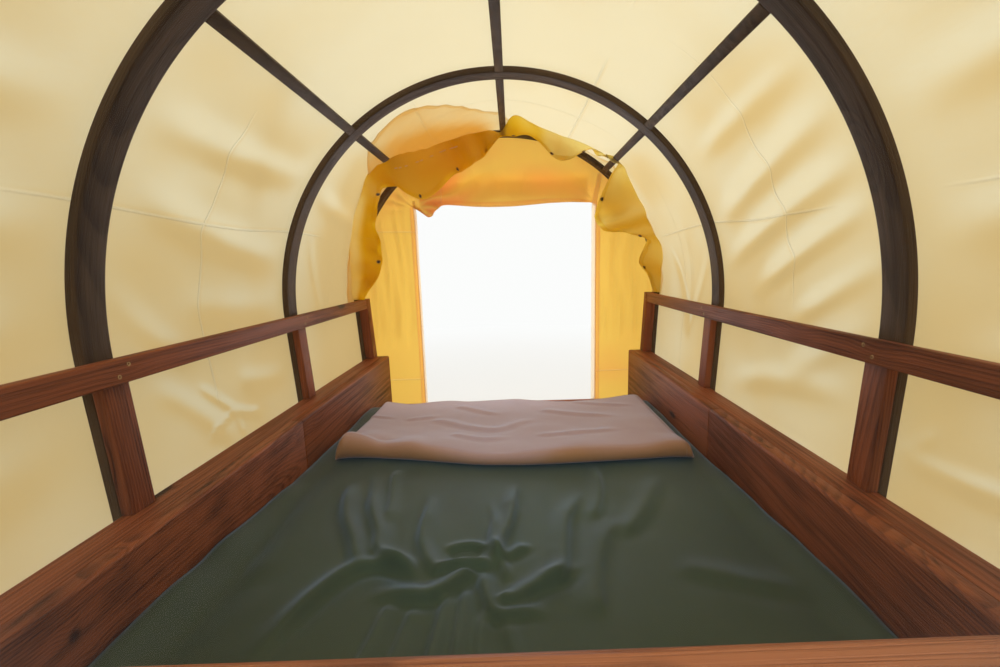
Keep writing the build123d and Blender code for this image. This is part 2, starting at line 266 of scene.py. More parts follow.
def mesh_of(name, points, faces, attribute=None, values=None):
    """Mesh from arrays of points and quads, shaded smooth, with one vector attribute."""
    mesh = bpy.data.meshes.new(name)
    points = np.asarray(points, np.float32).reshape(-1, 3)
    faces = np.asarray(faces, np.int32)
    mesh.vertices.add(len(points))
    mesh.vertices.foreach_set("co", points.ravel())
    mesh.loops.add(faces.size)
    mesh.loops.foreach_set("vertex_index", faces.ravel())
    mesh.polygons.add(len(faces))
    mesh.polygons.foreach_set("loop_start", np.arange(0, faces.size, faces.shape[1], dtype=np.int32))
    mesh.update(calc_edges=True)
    mesh.validate()
    mesh.polygons.foreach_set("use_smooth", np.ones(len(mesh.polygons), bool))
    if attribute:
        add_vectors(mesh, attribute, np.asarray(values, np.float32).reshape(-1, 3))
    return mesh


def sheet_piece(
    name, points, cloth, material, thickness, flip=False, hem=None, creases=0.0, seed=0, shade=0.0
):
    """Piece of cloth from a grid of points, with a real thickness.

    Its cloth attribute is the flat place and the distance to a hemmed edge. Its tone attribute is the
    uneven dye with any added painted shade and light, the strength of the storage creases and how far they
    wander, from smooth noise.
    """
    rows, columns = points.shape[:2]
    faces = grid_faces(rows, columns)
    if flip:
        faces = faces[:, ::-1]
    u, v = cloth[..., 0], cloth[..., 1]
    hem = np.ones_like(u) if hem is None else np.broadcast_to(hem, u.shape)
    mesh = mesh_of(name, points, faces, "cloth", np.stack([u, v, hem], -1))
    tone_level = 0.5 + 0.2 * smooth_noise(u, v, seed + 70, 0.31) + 0.1 * smooth_noise(u, v, seed + 71, 0.11)
    marks = smooth_step(smooth_noise(u, v, seed + 72, 0.36), -0.35, 0.25) * creases
    wander = smooth_noise(u, v, seed + 73, 0.5) * 0.02
    add_vectors(mesh, "tone", np.stack([tone_level + shade, marks, wander], -1).reshape(-1, 3))
    mesh.materials.append(material)
    piece = new_piece(name, mesh)
    shell = piece.modifiers.new("Cloth thickness", "SOLIDIFY")
    shell.thickness = thickness
    shell.offset = 0
    return piece


def close_ends(mesh, rows, columns):
    """Cap both ends of a tube of rings and turn every face outwards."""
    bm = bmesh.new()
    bm.from_mesh(mesh)
    bm.verts.ensure_lookup_table()
    for start in (0, (rows - 1) * columns):
        bm.faces.new([bm.verts[start + k] for k in range(columns)])
    bmesh.ops.recalc_face_normals(bm, faces=bm.faces)
    bm.to_mesh(mesh)
    bm.free()
    mesh.set_sharp_from_angle(angle=np.radians(50))


def carried(name, section, path, side, up, grain_start, material):
    """Bar from a closed section carried along a path: path + a * side + b * up for each corner (a, b)."""
    rows, columns = len(path), len(section)
    points = path[:, None] + section[None, :, :1] * side[:, None] + section[None, :, 1:] * up[:, None]
    across = np.broadcast_to(section[None], (rows, columns, 2))
    along = np.broadcast_to(run_along(path)[:, None, None], (rows, columns, 1))
    grain = np.concatenate([across, along], -1) + np.asarray(grain_start)
    mesh = mesh_of(name, points, grid_faces(rows, columns, False, True), "grain", grain)
    close_ends(mesh, rows, columns)
    mesh.materials.append(material)
    return new_piece(name, mesh)


def repeated(name, shape, quads, places, axes, material, slot):
    """One mesh of many like pieces: place + a * side + b * up + c * out for each corner (a, b, c)."""
    side, up, out = (np.asarray(axis, float) for axis in axes)
    side, up, out = (axis / np.linalg.norm(axis, axis=1, keepdims=True) for axis in (side, up, out))
    points = np.asarray(places)[:, None] + shape[None, :, :1] * side[:, None]
    points = points + shape[None, :, 1:2] * up[:, None] + shape[None, :, 2:] * out[:, None]
    faces = quads[None] + (np.arange(len(places)) * len(shape))[:, None, None]
    mesh = mesh_of(name, points, faces.reshape(-1, 4))
    mesh.set_sharp_from_angle(angle=np.radians(45))
    mesh.materials.append(material)
    return new_piece(name, mesh)


def turned(profile, count=16):
    """Shape and quads of a profile of (radius, height) pairs turned about the out axis, rim to middle."""
    profile = np.asarray(profile, float)
    turn = full_turn(count)
    heights = np.broadcast_to(profile[:, 1:], (len(profile), count))
    shape = np.stack([profile[:, :1] * np.cos(turn), profile[:, :1] * np.sin(turn), heights], -1)
    return shape.reshape(-1, 3), grid_faces(len(profile), count, False, True)


def wire_ring(half_width, half_height, wire, rise, count):
    """Shape and quads of an oval ring of wire.

    A corner lies at ((half_width + wire cos b) cos a, (half_height + wire cos b) sin a, rise sin b).
    """
    steps = 8
    a, b = grid(full_turn(count), full_turn(steps))
    out = wire * np.cos(b)
    shape = np.stack(
        [(half_width + out) * np.cos(a), (half_height + out) * np.sin(a), rise * np.sin(b)], -1
    )
    return shape.reshape(-1, 3), grid_faces(count, steps, True, True)[:, ::-1]


def frame_of(normals):
    """Side and up axes square to each normal, from Y or, where the normal nearly follows it, from X."""
    normals = np.asarray(normals, float)
    off_y = np.abs(normals[:, 1:2]) < 0.9 * np.linalg.norm(normals, axis=1, keepdims=True)
    side = np.cross(np.where(off_y, [[0.0, 1.0, 0.0]], [[1.0, 0.0, 0.0]]), normals)
    return side, np.cross(normals, side), normals


def rounded_section(width, height, radius, steps=4):
    """Corners of a rectangle about the origin whose own corners are quarter circles."""
    turns = np.linspace(0, np.pi / 2, steps + 1)
    parts = []
    for k, (sx, sy) in enumerate(((1, 1), (-1, 1), (-1, -1), (1, -1))):
        centre = np.array([sx * (width / 2 - radius), sy * (height / 2 - radius)])
        angle = turns + k * np.pi / 2
        parts.append(centre + radius * np.stack([np.cos(angle), np.sin(angle)], -1))
    return np.concatenate(parts)


def merged_copy(name, node):
    """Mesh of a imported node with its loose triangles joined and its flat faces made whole."""
    bm = bmesh.new()
    bm.from_mesh(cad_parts[node].data)
    bmesh.ops.remove_doubles(bm, verts=bm.verts, dist=1e-6)
    bmesh.ops.dissolve_limit(bm, angle_limit=np.radians(0.5), verts=bm.verts, edges=bm.edges)
    mesh = bpy.data.meshes.new(name)
    bm.to_mesh(mesh)
    bm.free()
    return mesh


def bevel(piece, width, segments=2, angle=30):
    """Round the sharp edges."""
    modifier = piece.modifiers.new("Rounded edges", "BEVEL")
    modifier.width = width
    modifier.segments = segments
    modifier.limit_method = "ANGLE"
    modifier.angle_limit = np.radians(angle)
    modifier.harden_normals = True
    piece.data.polygons.foreach_set("use_smooth", np.ones(len(piece.data.polygons), bool))


def timber_piece(node, along, boards, material, seed, edge):
    """Bevelled copy of a packed timber. Each board's grain runs along one axis from its own start."""
    mesh = merged_copy(node + "_timber", node)
    co = np.empty(len(mesh.vertices) * 3, np.float32)
    mesh.vertices.foreach_get("co", co)
    co = co.reshape(-1, 3)
    order = {"X": (1, 2, 0), "Y": (0, 2, 1), "Z": (0, 1, 2)}[along]
    grain = co[:, order].copy()
    axis, count = boards
    low, high = co[:, axis].min(), co[:, axis].max()
    board = np.clip(((co[:, axis] - low) / (high - low + 1e-6) * count).astype(int), 0, count - 1)
    starts = np.random.default_rng(seed).uniform(-1, 1, (count, 3)) * (0.09, 0.13, 7.0) + (0.0, 0.16, 9.0)
    for k in range(count):
        if (board == k).any():
            grain[board == k, :2] -= grain[board == k].mean(0)[:2]
    grain += starts[board]
    add_vectors(mesh, "grain", grain)
    mesh.materials.append(material)
    piece = new_piece(node + "_timber", mesh)
    bevel(piece, edge)
    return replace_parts(piece, node)


# Shaders


def shader(tree, kind, x=0, y=0, **settings):
    """Add a node, set its own properties and its unlinked inputs by name."""
    made = tree.nodes.new(kind)
    made.location = (x, y)
    for key, value in settings.items():
        if hasattr(made, key):
            setattr(made, key, value)
        else:
            made.inputs[key.replace("_", " ")].default_value = value
    return made


def join(tree, value, socket):
    """Link a socket to an input, or set the input to a value."""
    if isinstance(value, bpy.types.NodeSocket):
        tree.links.new(value, socket)
    else:
        socket.default_value = value


def math_node(tree, operation, a, b=None, clamp=False):
    """One sum on values or sockets."""
    made = tree.nodes.new("ShaderNodeMath")
    made.operation = operation
    made.use_clamp = clamp
    join(tree, a, made.inputs[0])
    if b is not None:
        join(tree, b, made.inputs[1])
    return made.outputs[0]


def plus(tree, a, b, clamp=False):
    """a + b."""
    return math_node(tree, "ADD", a, b, clamp)


def minus(tree, a, b, clamp=False):
    """a - b."""
    return math_node(tree, "SUBTRACT", a, b, clamp)


def times(tree, a, b):
    """a * b."""
    return math_node(tree, "MULTIPLY", a, b)


def mix_colour(tree, share, a, b):
    """Mix two colours, each a socket or a tuple."""
    made = tree.nodes.new("ShaderNodeMix")
    made.data_type = "RGBA"
    for socket, value in zip((made.inputs[0], made.inputs[6], made.inputs[7]), (share, a, b)):
        join(tree, value, socket)
    return made.outputs[2]


def mix_shader(tree, share, a, b, output):
    """Mix two shaders into the output."""
    mixed = shader(tree, "ShaderNodeMixShader", 700, 0)
    join(tree, share, mixed.inputs[0])
    tree.links.new(a.outputs[0], mixed.inputs[1])
    tree.links.new(b.outputs[0], mixed.inputs[2])
    tree.links.new(mixed.outputs[0], output.inputs[0])


def ramp(tree, value, low, high, smooth=True):
    """Map a value from low..high to 0..1."""
    made = tree.nodes.new("ShaderNodeMapRange")
    made.interpolation_type = "SMOOTHSTEP" if smooth else "LINEAR"
    made.inputs["From Min"].default_value = low
    made.inputs["From Max"].default_value = high
    tree.links.new(value, made.inputs["Value"])
    return made.outputs["Result"]


def stretched(tree, vector, factors):
    """Scale a vector by three factors."""
    made = tree.nodes.new("ShaderNodeVectorMath")
    made.operation = "MULTIPLY"
    tree.links.new(vector, made.inputs[0])
    made.inputs[1].default_value = factors
    return made.outputs[0]


def noise(tree, vector, scale, detail, roughness=0.55):
    """Noise at a vector socket, scaled by one factor or by three."""
    if isinstance(scale, tuple):
        vector, scale = stretched(tree, vector, scale), 1.0
    made = tree.nodes.new("ShaderNodeTexNoise")
    made.inputs["Scale"].default_value = scale
    made.inputs["Detail"].default_value = detail
    made.inputs["Roughness"].default_value = roughness
    tree.links.new(vector, made.inputs["Vector"])
    return made.outputs[0]


def parts_of(tree, vector):
    """The three numbers of a vector."""
    made = tree.nodes.new("ShaderNodeSeparateXYZ")
    tree.links.new(vector, made.inputs[0])
    return made.outputs


def new_group(name, inputs, outputs):
    """Empty node group with named sockets: inputs are (name, kind, default), outputs (name, kind)."""
    group = bpy.data.node_groups.new(name, "ShaderNodeTree")
    for label, kind, default in inputs:
        socket = group.interface.new_socket(label, in_out="INPUT", socket_type=kind)
        if default is not None:
            socket.default_value = default
    for label, kind in outputs:
        group.interface.new_socket(label, in_out="OUTPUT", socket_type=kind)
    start = group.nodes.new("NodeGroupInput")
    end = group.nodes.new("NodeGroupOutput")
    return group, start.outputs, end.inputs


VECTOR, COLOUR, NUMBER = "NodeSocketVector", "NodeSocketColor", "NodeSocketFloat"


def timber_grain_group():
    """Growth rings round a heart line, fine fibres along the grain, bent rings round knots, and stain."""
    group, given, result = new_group(
        "Timber grain",
        [
            ("Grain", VECTOR, None),
            ("Pale", COLOUR, (0.4, 0.15, 0.06, 1)),
            ("Dark", COLOUR, (0.12, 0.035, 0.015, 1)),
            ("Knot", COLOUR, (0.03, 0.01, 0.006, 1)),
            ("Ring Spacing", NUMBER, 0.006),
            ("Knot Size", NUMBER, 0.16),
            ("Fibre", NUMBER, 0.5),
        ],
        [("Colour", COLOUR), ("Rough", NUMBER), ("Height", NUMBER)],
    )
    grain = given["Grain"]
    # Knots lie at the cells of a pattern drawn out along the grain
    cells = group.nodes.new("ShaderNodeTexVoronoi")
    cells.feature = "F1"
    cells.inputs["Scale"].default_value = 1.0
    group.links.new(stretched(group, grain, (9.0, 9.0, 3.1)), cells.inputs["Vector"])
    from_knot = cells.outputs["Distance"]
    near_knot = minus(group, 1.0, ramp(group, from_knot, 0.0, 0.34))
    knot_edge = math_node(group, "DIVIDE", from_knot, given["Knot Size"])
    knot = minus(group, 1.0, ramp(group, knot_edge, 0.6, 1.0))
    # Rings: distance from a heart line that wanders, pushed out near knots
    across, up, _ = parts_of(group, grain)
    wander = times(group, noise(group, grain, (3.0, 3.0, 0.7), 1.0), 0.10)
    heart_a, heart_b = plus(group, across, wander), minus(group, up, wander)
    squares = plus(group, times(group, heart_a, heart_a), times(group, heart_b, heart_b))
    away = plus(group, math_node(group, "SQRT", squares), times(group, near_knot, 0.016))
    band = math_node(group, "FRACT", math_node(group, "DIVIDE", away, given["Ring Spacing"]))
    late = times(group, ramp(group, band, 0.25, 0.88), minus(group, 1.0, ramp(group, band, 0.93, 1.0)))
    fibre = noise(group, grain, (520, 520, 9), 1.0, 0.6)
    streak = noise(group, grain, (70, 70, 1.4), 2.0, 0.6)
    stain = noise(group, grain, (6, 6, 2.2), 2.0)
    fine = times(group, ramp(group, fibre, 0.42, 0.72), given["Fibre"])
    shade = times(group, late, 0.36)
    shade = plus(group, shade, times(group, ramp(group, streak, 0.35, 0.7), 0.45))
    shade = plus(group, shade, times(group, ramp(group, stain, 0.3, 0.72), 0.45))
    shade = plus(group, shade, times(group, fine, 0.35))
    shade = minus(group, shade, 0.28, clamp=True)
    body = mix_colour(group, shade, given["Pale"], given["Dark"])
    body = mix_colour(group, times(group, near_knot, 0.35), body, given["Dark"])
    join(group, mix_colour(group, times(group, knot, 0.9), body, given["Knot"]), result["Colour"])
    rough = plus(group, times(group, shade, 0.16), 0.42)
    join(group, plus(group, rough, times(group, fine, 0.2)), result["Rough"])
    join(group, minus(group, 1.0, fine), result["Height"])
    return group


# Storage creases of the canvas: which way they are counted, and how far apart they lie
CREASES = ((0, 0.613), (1, 0.74))


def cloth_weave_group():
    """Crossing threads, slubs, uneven dye with painted shade and light, a stitched double hem, and storage
    creases as raised lines with a painted highlight and a painted shade beside them.
    """
    group, given, result = new_group(
        "Cloth weave",
        [
            ("Cloth", VECTOR, None),
            ("Tone", VECTOR, None),
            ("Colour", COLOUR, (0.8, 0.7, 0.5, 1)),
            ("Worn", COLOUR, (0.6, 0.5, 0.3, 1)),
            ("Thread", NUMBER, 0.0011),
            ("Patches", NUMBER, 0.3),
            ("Hem", NUMBER, 0.024),
        ],
        [("Colour", COLOUR), ("Height", NUMBER)],
    )
    place = parts_of(group, given["Cloth"])
    tone_level, marks, wander = parts_of(group, given["Tone"])
    turns = math_node(group, "DIVIDE", 6.2832, given["Thread"])
    warp, weft = (math_node(group, "SINE", times(group, place[k], turns)) for k in (0, 1))
    threads = times(group, warp, weft)
    slubs = noise(group, given["Cloth"], (420, 36, 1), 1.0)
    # The tone level is uneven dye plus any painted shade and light; it mixes the colour towards the worn and
    # shaded one
    patches = times(group, ramp(group, tone_level, 0.2, 1.1), given["Patches"])
    colour = mix_colour(group, patches, given["Colour"], given["Worn"])
    # Each crease is a raised line painted pale as a highlight, with a darker line beside it painted as the
    # shade of a dent
    pale_lines, dark_lines = [], []
    for axis, pitch in CREASES:
        share = math_node(group, "FRACT", math_node(group, "DIVIDE", plus(group, place[axis], wander), pitch))
        off = times(group, minus(group, share, 0.5), pitch)
        for lines, beside, width in ((pale_lines, 0.0, 0.0045), (dark_lines, 0.007, 0.006)):
            near = math_node(group, "ABSOLUTE", minus(group, off, beside))
            lines.append(minus(group, 1.0, ramp(group, near, 0.0, width)))
    crease = times(group, math_node(group, "MAXIMUM", *pale_lines), marks)
    painted_dent_shade = times(group, math_node(group, "MAXIMUM", *dark_lines), marks)
    colour = mix_colour(group, times(group, crease, 0.25), colour, (1.0, 0.97, 0.88, 1))
    # The hem is a second layer, sewn 3 mm from its inner edge with short dashes
    inside = minus(group, given["Hem"], place[2])
    hem = ramp(group, inside, 0.0, 0.0008)
    off_seam = math_node(group, "ABSOLUTE", minus(group, inside, 0.003))
    seam = minus(group, 1.0, ramp(group, off_seam, 0.0006, 0.0016))
    dash_a, dash_b = (math_node(group, "SINE", times(group, place[k], 1200.0)) for k in (0, 1))
    stitch = times(group, seam, ramp(group, times(group, dash_a, dash_b), -0.3, 0.1))
    darker = times(group, ramp(group, threads, -1.0, 1.0, False), 0.06)
    darker = plus(group, darker, times(group, ramp(group, slubs, 0.4, 0.75), 0.10))
    darker = plus(group, darker, times(group, hem, 0.32))
    darker = plus(group, darker, times(group, painted_dent_shade, 0.20))
    darker = plus(group, darker, times(group, stitch, 0.5), clamp=True)
    join(group, mix_colour(group, darker, colour, given["Worn"]), result["Colour"])
    height = plus(group, times(group, threads, 0.12), times(group, crease, 5.0))
    height = minus(group, height, times(group, stitch, 2.0))
    join(group, plus(group, height, times(group, hem, 2.0)), result["Height"])
    return group


def empty_material(name):
    """Material with an empty tree and its output."""
    material = bpy.data.materials.new(name)
    material.use_nodes = True
    material.node_tree.nodes.clear()
    output = material.node_tree.nodes.new("ShaderNodeOutputMaterial")
    output.location = (900, 0)
    return material, material.node_tree, output


def read_attribute(tree, name):
    """Vector of a named attribute."""
    made = tree.nodes.new("ShaderNodeAttribute")
    made.attribute_name = name
    return made.outputs["Vector"]


def object_place(tree):
    """Place on the object."""
    return tree.nodes.new("ShaderNodeTexCoord").outputs["Object"]


def place_group(tree, group, **values):
    """Group node with its own values."""
    made = tree.nodes.new("ShaderNodeGroup")
    made.node_tree = group
    for key, value in values.items():
        join(tree, value, made.inputs[key.replace("_", " ")])
    return made.outputs


def bump(tree, height, distance):
    """Normal from a height."""
    made = tree.nodes.new("ShaderNodeBump")
    made.inputs["Strength"].default_value = 1.0
    made.inputs["Distance"].default_value = distance
    tree.links.new(height, made.inputs["Height"])
    return made.outputs["Normal"]


def timber_material(name, group, pale, dark, knot, ring=0.006, knot_size=0.16, fibre=0.6, coat=0.0):
    """Stained timber."""
    material, tree, output = empty_material(name)
    grain = place_group(
        tree, group, Grain=read_attribute(tree, "grain"), Pale=pale, Dark=dark, Knot=knot,
        Ring_Spacing=ring, Knot_Size=knot_size, Fibre=fibre,
    )
    surface = shader(
        tree, "ShaderNodeBsdfPrincipled", 600, 0,
        Coat_Weight=coat, Coat_Roughness=0.3, Specular_IOR_Level=0.14,
    )
    tree.links.new(grain["Colour"], surface.inputs["Base Color"])
    tree.links.new(grain["Rough"], surface.inputs["Roughness"])
    tree.links.new(bump(tree, grain["Height"], 0.0006), surface.inputs["Normal"])
    tree.links.new(surface.outputs[0], output.inputs[0])
    return material


def cloth_material(
    name, group, colour, worn_and_shade, thread=0.0011, patches=0.3, through=0.0, sheen=0.0, rough=0.8, gloss=0.3
):
    """Cloth, with a share of the light let through."""
    material, tree, output = empty_material(name)
    weave = place_group(
        tree, group, Cloth=read_attribute(tree, "cloth"), Tone=read_attribute(tree, "tone"), Colour=colour,
        Worn=worn_and_shade, Thread=thread, Patches=patches,
    )
    normal = bump(tree, weave["Height"], 0.0005)
    # The blue tint of the reflections and of the sheen is painted light: it stands in for blue sky light
    surface = shader(
        tree, "ShaderNodeBsdfPrincipled", 500, 0, Roughness=rough, Sheen_Weight=sheen, Sheen_Roughness=0.4,
        Specular_IOR_Level=gloss, Specular_Tint=(0.80, 0.90, 1.0, 1), Sheen_Tint=(0.75, 0.86, 1.0, 1),
    )
    tree.links.new(weave["Colour"], surface.inputs["Base Color"])
    tree.links.new(normal, surface.inputs["Normal"])
    if through:
        light = shader(tree, "ShaderNodeBsdfTranslucent", 500, -300)
        tree.links.new(weave["Colour"], light.inputs["Color"])
        tree.links.new(normal, light.inputs["Normal"])
        mix_shader(tree, through, surface, light, output)
    else:
        tree.links.new(surface.outputs[0], output.inputs[0])
    return material


def iron_material(name):
    """Black painted iron with brushed unevenness and a little rust where the paint is thin."""
    material, tree, output = empty_material(name)
    where = object_place(tree)
    rust = ramp(tree, noise(tree, where, 38.0, 5.0, 0.65), 0.6, 0.78)
    colour = mix_colour(tree, rust, (0.02, 0.02, 0.021, 1), (0.12, 0.05, 0.025, 1))
    surface = shader(tree, "ShaderNodeBsdfPrincipled", 500, 0)
    tree.links.new(colour, surface.inputs["Base Color"])
    rough = ramp(tree, noise(tree, where, 120.0, 3.0), 0.0, 1.6, False)
    tree.links.new(rough, surface.inputs["Roughness"])
    tree.links.new(bump(tree, noise(tree, where, 260.0, 3.0), 0.0003), surface.inputs["Normal"])
    tree.links.new(surface.outputs[0], output.inputs[0])
    return material


def brass_material(name):
    """Brass dulled by handling, darker in patches."""
    material, tree, output = empty_material(name)
    where = object_place(tree)
    dull = ramp(tree, noise(tree, where, 160.0, 3.0), 0.4, 0.7)
    colour = mix_colour(tree, dull, (0.55, 0.38, 0.16, 1), (0.22, 0.14, 0.06, 1))
    surface = shader(tree, "ShaderNodeBsdfPrincipled", 500, 0, Metallic=1.0)
    tree.links.new(colour, surface.inputs["Base Color"])
    rough = ramp(tree, noise(tree, where, 90.0, 2.0), -0.6, 1.2, False)
    tree.links.new(rough, surface.inputs["Roughness"])
    tree.links.new(surface.outputs[0], output.inputs[0])
    return material


def pane_material(name):
    """Thin clear sheet: light passes, and a share that grows towards grazing is mirrored."""
    material, tree, output = empty_material(name)
    clear = shader(tree, "ShaderNodeBsdfTransparent", 300, 100)
    clear.inputs[0].default_value = (0.985, 0.99, 0.985, 1)
    gloss = shader(tree, "ShaderNodeBsdfPrincipled", 300, -100, Metallic=1.0, Roughness=0.02)
    gloss.inputs["Base Color"].default_value = (0.9, 0.92, 0.92, 1)
    facing = tree.nodes.new("ShaderNodeLayerWeight").outputs["Facing"]
    share = plus(tree, times(tree, math_node(tree, "POWER", facing, 5.0), 0.5), 0.003)
    mix_shader(tree, share, clear, gloss, output)
    return material


# Sizes and colours


def length_property(name, description, default):
    """Property that holds a length."""
    return bpy.props.FloatProperty(name=name, description=description, default=default, unit="LENGTH")


def colour_property(name, description, *default):
    """Property that holds a colour."""
    return bpy.props.FloatVectorProperty(
        name=name, description=description, default=(*default, 1), size=4, subtype="COLOR"
    )


class WagonCanvas(bpy.types.PropertyGroup):
    """Canvas of the cover, the end wall, the skirt and the curtain."""

    thickness: length_property("Thickness", "Thickness of one layer of canvas", 0.0012)
    sag: length_property("Sag", "How far the cover sinks between bows and purlins", 0.018)
    cover_colour: colour_property("Cover", "Colour of the cover", 0.915, 0.865, 0.71)
    wall_colour: colour_property("End wall", "Colour of the end wall", 0.91, 0.72, 0.29)
    skirt_colour: colour_property("Skirt", "Colour of the hanging skirt", 1.0, 0.94, 0.64)
    curtain_colour: colour_property("Curtain", "Colour of the door curtain", 1.0, 0.93, 0.78)


class WagonTimber(bpy.types.PropertyGroup):
    """Edges and stains of the timber."""

    edge: length_property("Edge", "Width of the rounded edges", 0.0022)
    pale: colour_property("Pale stain", "Early wood under the red-brown stain", 0.29, 0.080, 0.024)
    dark: colour_property("Dark stain", "Late wood under the red-brown stain", 0.054, 0.0135, 0.0055)


class WagonBed(bpy.types.PropertyGroup):
    """Bedding."""

    fold: length_property("Sheet folds", "Height of the tallest folds of the sheet", 0.018)
    sheet_colour: colour_property("Sheet", "Colour of the sheet", 0.045, 0.060, 0.028)
    # The lavender is painted light: it stands in for sky light on the blanket's top
    blanket_colour: colour_property("Blanket", "Colour of the blanket", 0.45, 0.335, 0.37)


materials = {}


class WAGON_OT_finishes(bpy.types.Operator):
    """Make the materials of timber, iron, canvas, cloth and the clear pane"""

    bl_idname = "wagon.finishes"
    bl_label = "Finishes"

    def execute(self, context):
        scene = context.scene
        canvas, timber, bed = scene.wagon_canvas, scene.wagon_timber, scene.wagon_bed
        grain, weave = timber_grain_group(), cloth_weave_group()
        knot = (0.022, 0.008, 0.005, 1)
        materials["stained"] = timber_material(
            "Stained timber", grain, timber.pale, timber.dark, knot, coat=0.03
        )
        materials["frame"] = timber_material(
            "Rough frame timber", grain, (0.34, 0.21, 0.12, 1), (0.15, 0.08, 0.045, 1), knot,
            ring=0.008, fibre=0.9,
        )
        materials["bow"] = timber_material(
            "Dark bow timber", grain, (0.098, 0.056, 0.027, 1), (0.038, 0.021, 0.010, 1), knot,
            ring=0.004, knot_size=0.02, fibre=0.9, coat=0.03,
        )
        materials["iron"] = iron_material("Black iron")
        materials["brass"] = brass_material("Dull brass")
        materials["pane"] = pane_material("Clear pane")
        # Each cloth: its name, its colour, the second colour that its worn patches and its painted shade mix
        # towards, and what sets it apart
        cloths = {
            # The cover's tan second colour takes its worn patches and its painted fold shade
            "cover": (
                "Cover canvas", canvas.cover_colour, (0.86, 0.71, 0.42, 1),
                {"patches": 0.75, "through": 0.82, "rough": 0.5},
            ),
            # The skirt's deep yellow second colour is mostly painted shade
            "skirt": (
                "Skirt canvas", canvas.skirt_colour, (0.91, 0.71, 0.045, 1), {"patches": 1.0, "through": 0.95}
            ),
            "lining": (
                "Lining canvas", (1.0, 0.96, 0.86, 1), (0.93, 0.68, 0.30, 1),
                {"patches": 1.0, "through": 0.93},
            ),
            # The wall's peach second colour takes its worn patches and the head's painted fold shade
            "wall": (
                "Yellow canvas", canvas.wall_colour, (0.94, 0.53, 0.25, 1), {"patches": 1.0, "through": 0.80}
            ),
            "curtain": ("Curtain canvas", canvas.curtain_colour, (1.0, 0.84, 0.58, 1), {"through": 0.95}),
            "zip": (
                "Zip tape", (0.97, 0.89, 0.76, 1), (0.85, 0.70, 0.50, 1), {"thread": 0.0016, "through": 0.85}
            ),
            "sheet": (
                "Olive sheet", bed.sheet_colour, (0.034, 0.042, 0.020, 1),
                {"thread": 0.0007, "patches": 1.0, "sheen": 0.2, "rough": 0.55},
            ),
            # The blanket's lavender colour is painted sky light, and its brown second colour is mostly
            # painted shade
            "blanket": (
                "Tan blanket", bed.blanket_colour, (0.35, 0.155, 0.055, 1),
                {"thread": 0.0015, "patches": 1.0, "sheen": 0.4},
            ),
            "ticking": ("Mattress ticking", (0.75, 0.73, 0.68, 1), (0.6, 0.58, 0.52, 1), {}),
        }
        for key, (name, dyed, worn_and_shade, finish) in cloths.items():
            materials[key] = cloth_material(name, weave, dyed, worn_and_shade, **finish)
        return {"FINISHED"}


# Timber

FRAME_WIDTH = 0.040


class WAGON_OT_timbers(bpy.types.Operator):
    """Give the floor, walls, posts, rails, purlins and window end their rounded edges and grain"""

    bl_idname = "wagon.timbers"
    bl_label = "Floor, walls and rails"

    def execute(self, context):
        one = (0, 1)
        # Node, the way its grain runs, the axis its boards are counted along and their count, and its finish
        table = [("cross_bearers", "X", (1, 4), "frame"), ("floor_boards", "Y", (0, FLOOR_BOARDS), "frame")]
        for side in ("left", "right"):
            table += [
                ("bearer_" + side, "Y", one, "frame"),
                ("inner_board_" + side, "Y", (1, 2), "stained"),
                ("top_plate_" + side, "Y", one, "stained"),
                ("side_boards_" + side, "Y", (2, 3), "stained"),
                ("rail_" + side, "Y", one, "stained"),
            ]
            table += [(f"post_{side}_{k}", "Z", one, "stained") for k in (1, 2, 3, 4)]
        table += [("purlin_" + name, "Y", (1, 3), "bow") for name in ("ridge", "left", "right")]
        table += [
            ("front_board", "Z", (0, 11), "stained"),
            ("window_sill", "X", one, "stained"),
            ("tail_board", "X", one, "stained"),
        ]
        edge = context.scene.wagon_timber.edge
        for seed, (node, along, boards, finish) in enumerate(table):
            timber_piece(node, along, boards, materials[finish], seed, edge)
        return {"FINISHED"}


class WAGON_OT_bows(bpy.types.Operator):
    """Carry a rounded strip section along each bow line, and round the arched window frame"""

    bl_idname = "wagon.bows"
    bl_label = "Bows and window frame"

    def execute(self, context):
        middle = BOW_RADIUS - BOW_THICKNESS / 2
        reach = hoop_length(middle, BOW_FOOT_Z)
        x, z, nx, nz = hoop(np.linspace(-reach, reach, 221), middle)
        out = np.stack([nx, np.zeros_like(nx), nz], -1)
        along = np.zeros_like(out) + (0, 1, 0)
        for k, (name, (low, high)) in enumerate(zip(BOWS, BOW_FACES)):
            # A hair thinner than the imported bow, so that no two faces lie in one plane
            section = rounded_section(BOW_THICKNESS - 0.0004, high - low - 0.0002, 0.0035)
            path = np.stack([x, np.full_like(x, (low + high) / 2), z], -1)
            start = (0.3 + 0.2 * k, 0.1, 3.1 * k)
            piece = carried(
                name + "_strip", section, path, out, along, start, materials["bow"]
            )
            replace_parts(piece, name)
        self.window_frame()
        return {"FINISHED"}

    @staticmethod
    def window_frame():
        """Part of a circle about the arch's centre, cut level at its feet."""
        low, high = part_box("window_frame")
        radius = high.z - ARCH_Z - FRAME_WIDTH / 2
        end = np.arcsin((low.z - ARCH_Z) / radius)
        angle = np.linspace(end, np.pi - end, 161)
        y = np.full_like(angle, (low.y + high.y) / 2)
        path = np.stack([radius * np.cos(angle), y, ARCH_Z + radius * np.sin(angle)], -1)
        path[0, 2] = path[-1, 2] = low.z
        out = np.stack([np.cos(angle), np.zeros_like(angle), np.sin(angle)], -1)
        along = np.zeros_like(out) + (0, 1, 0)
        section = rounded_section(FRAME_WIDTH, high.y - low.y, 0.003)
        piece = carried(
            "window_frame_arch", section, path, out, along, (0.5, 0.2, 1.0), materials["stained"],
        )
        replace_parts(piece, "window_frame")


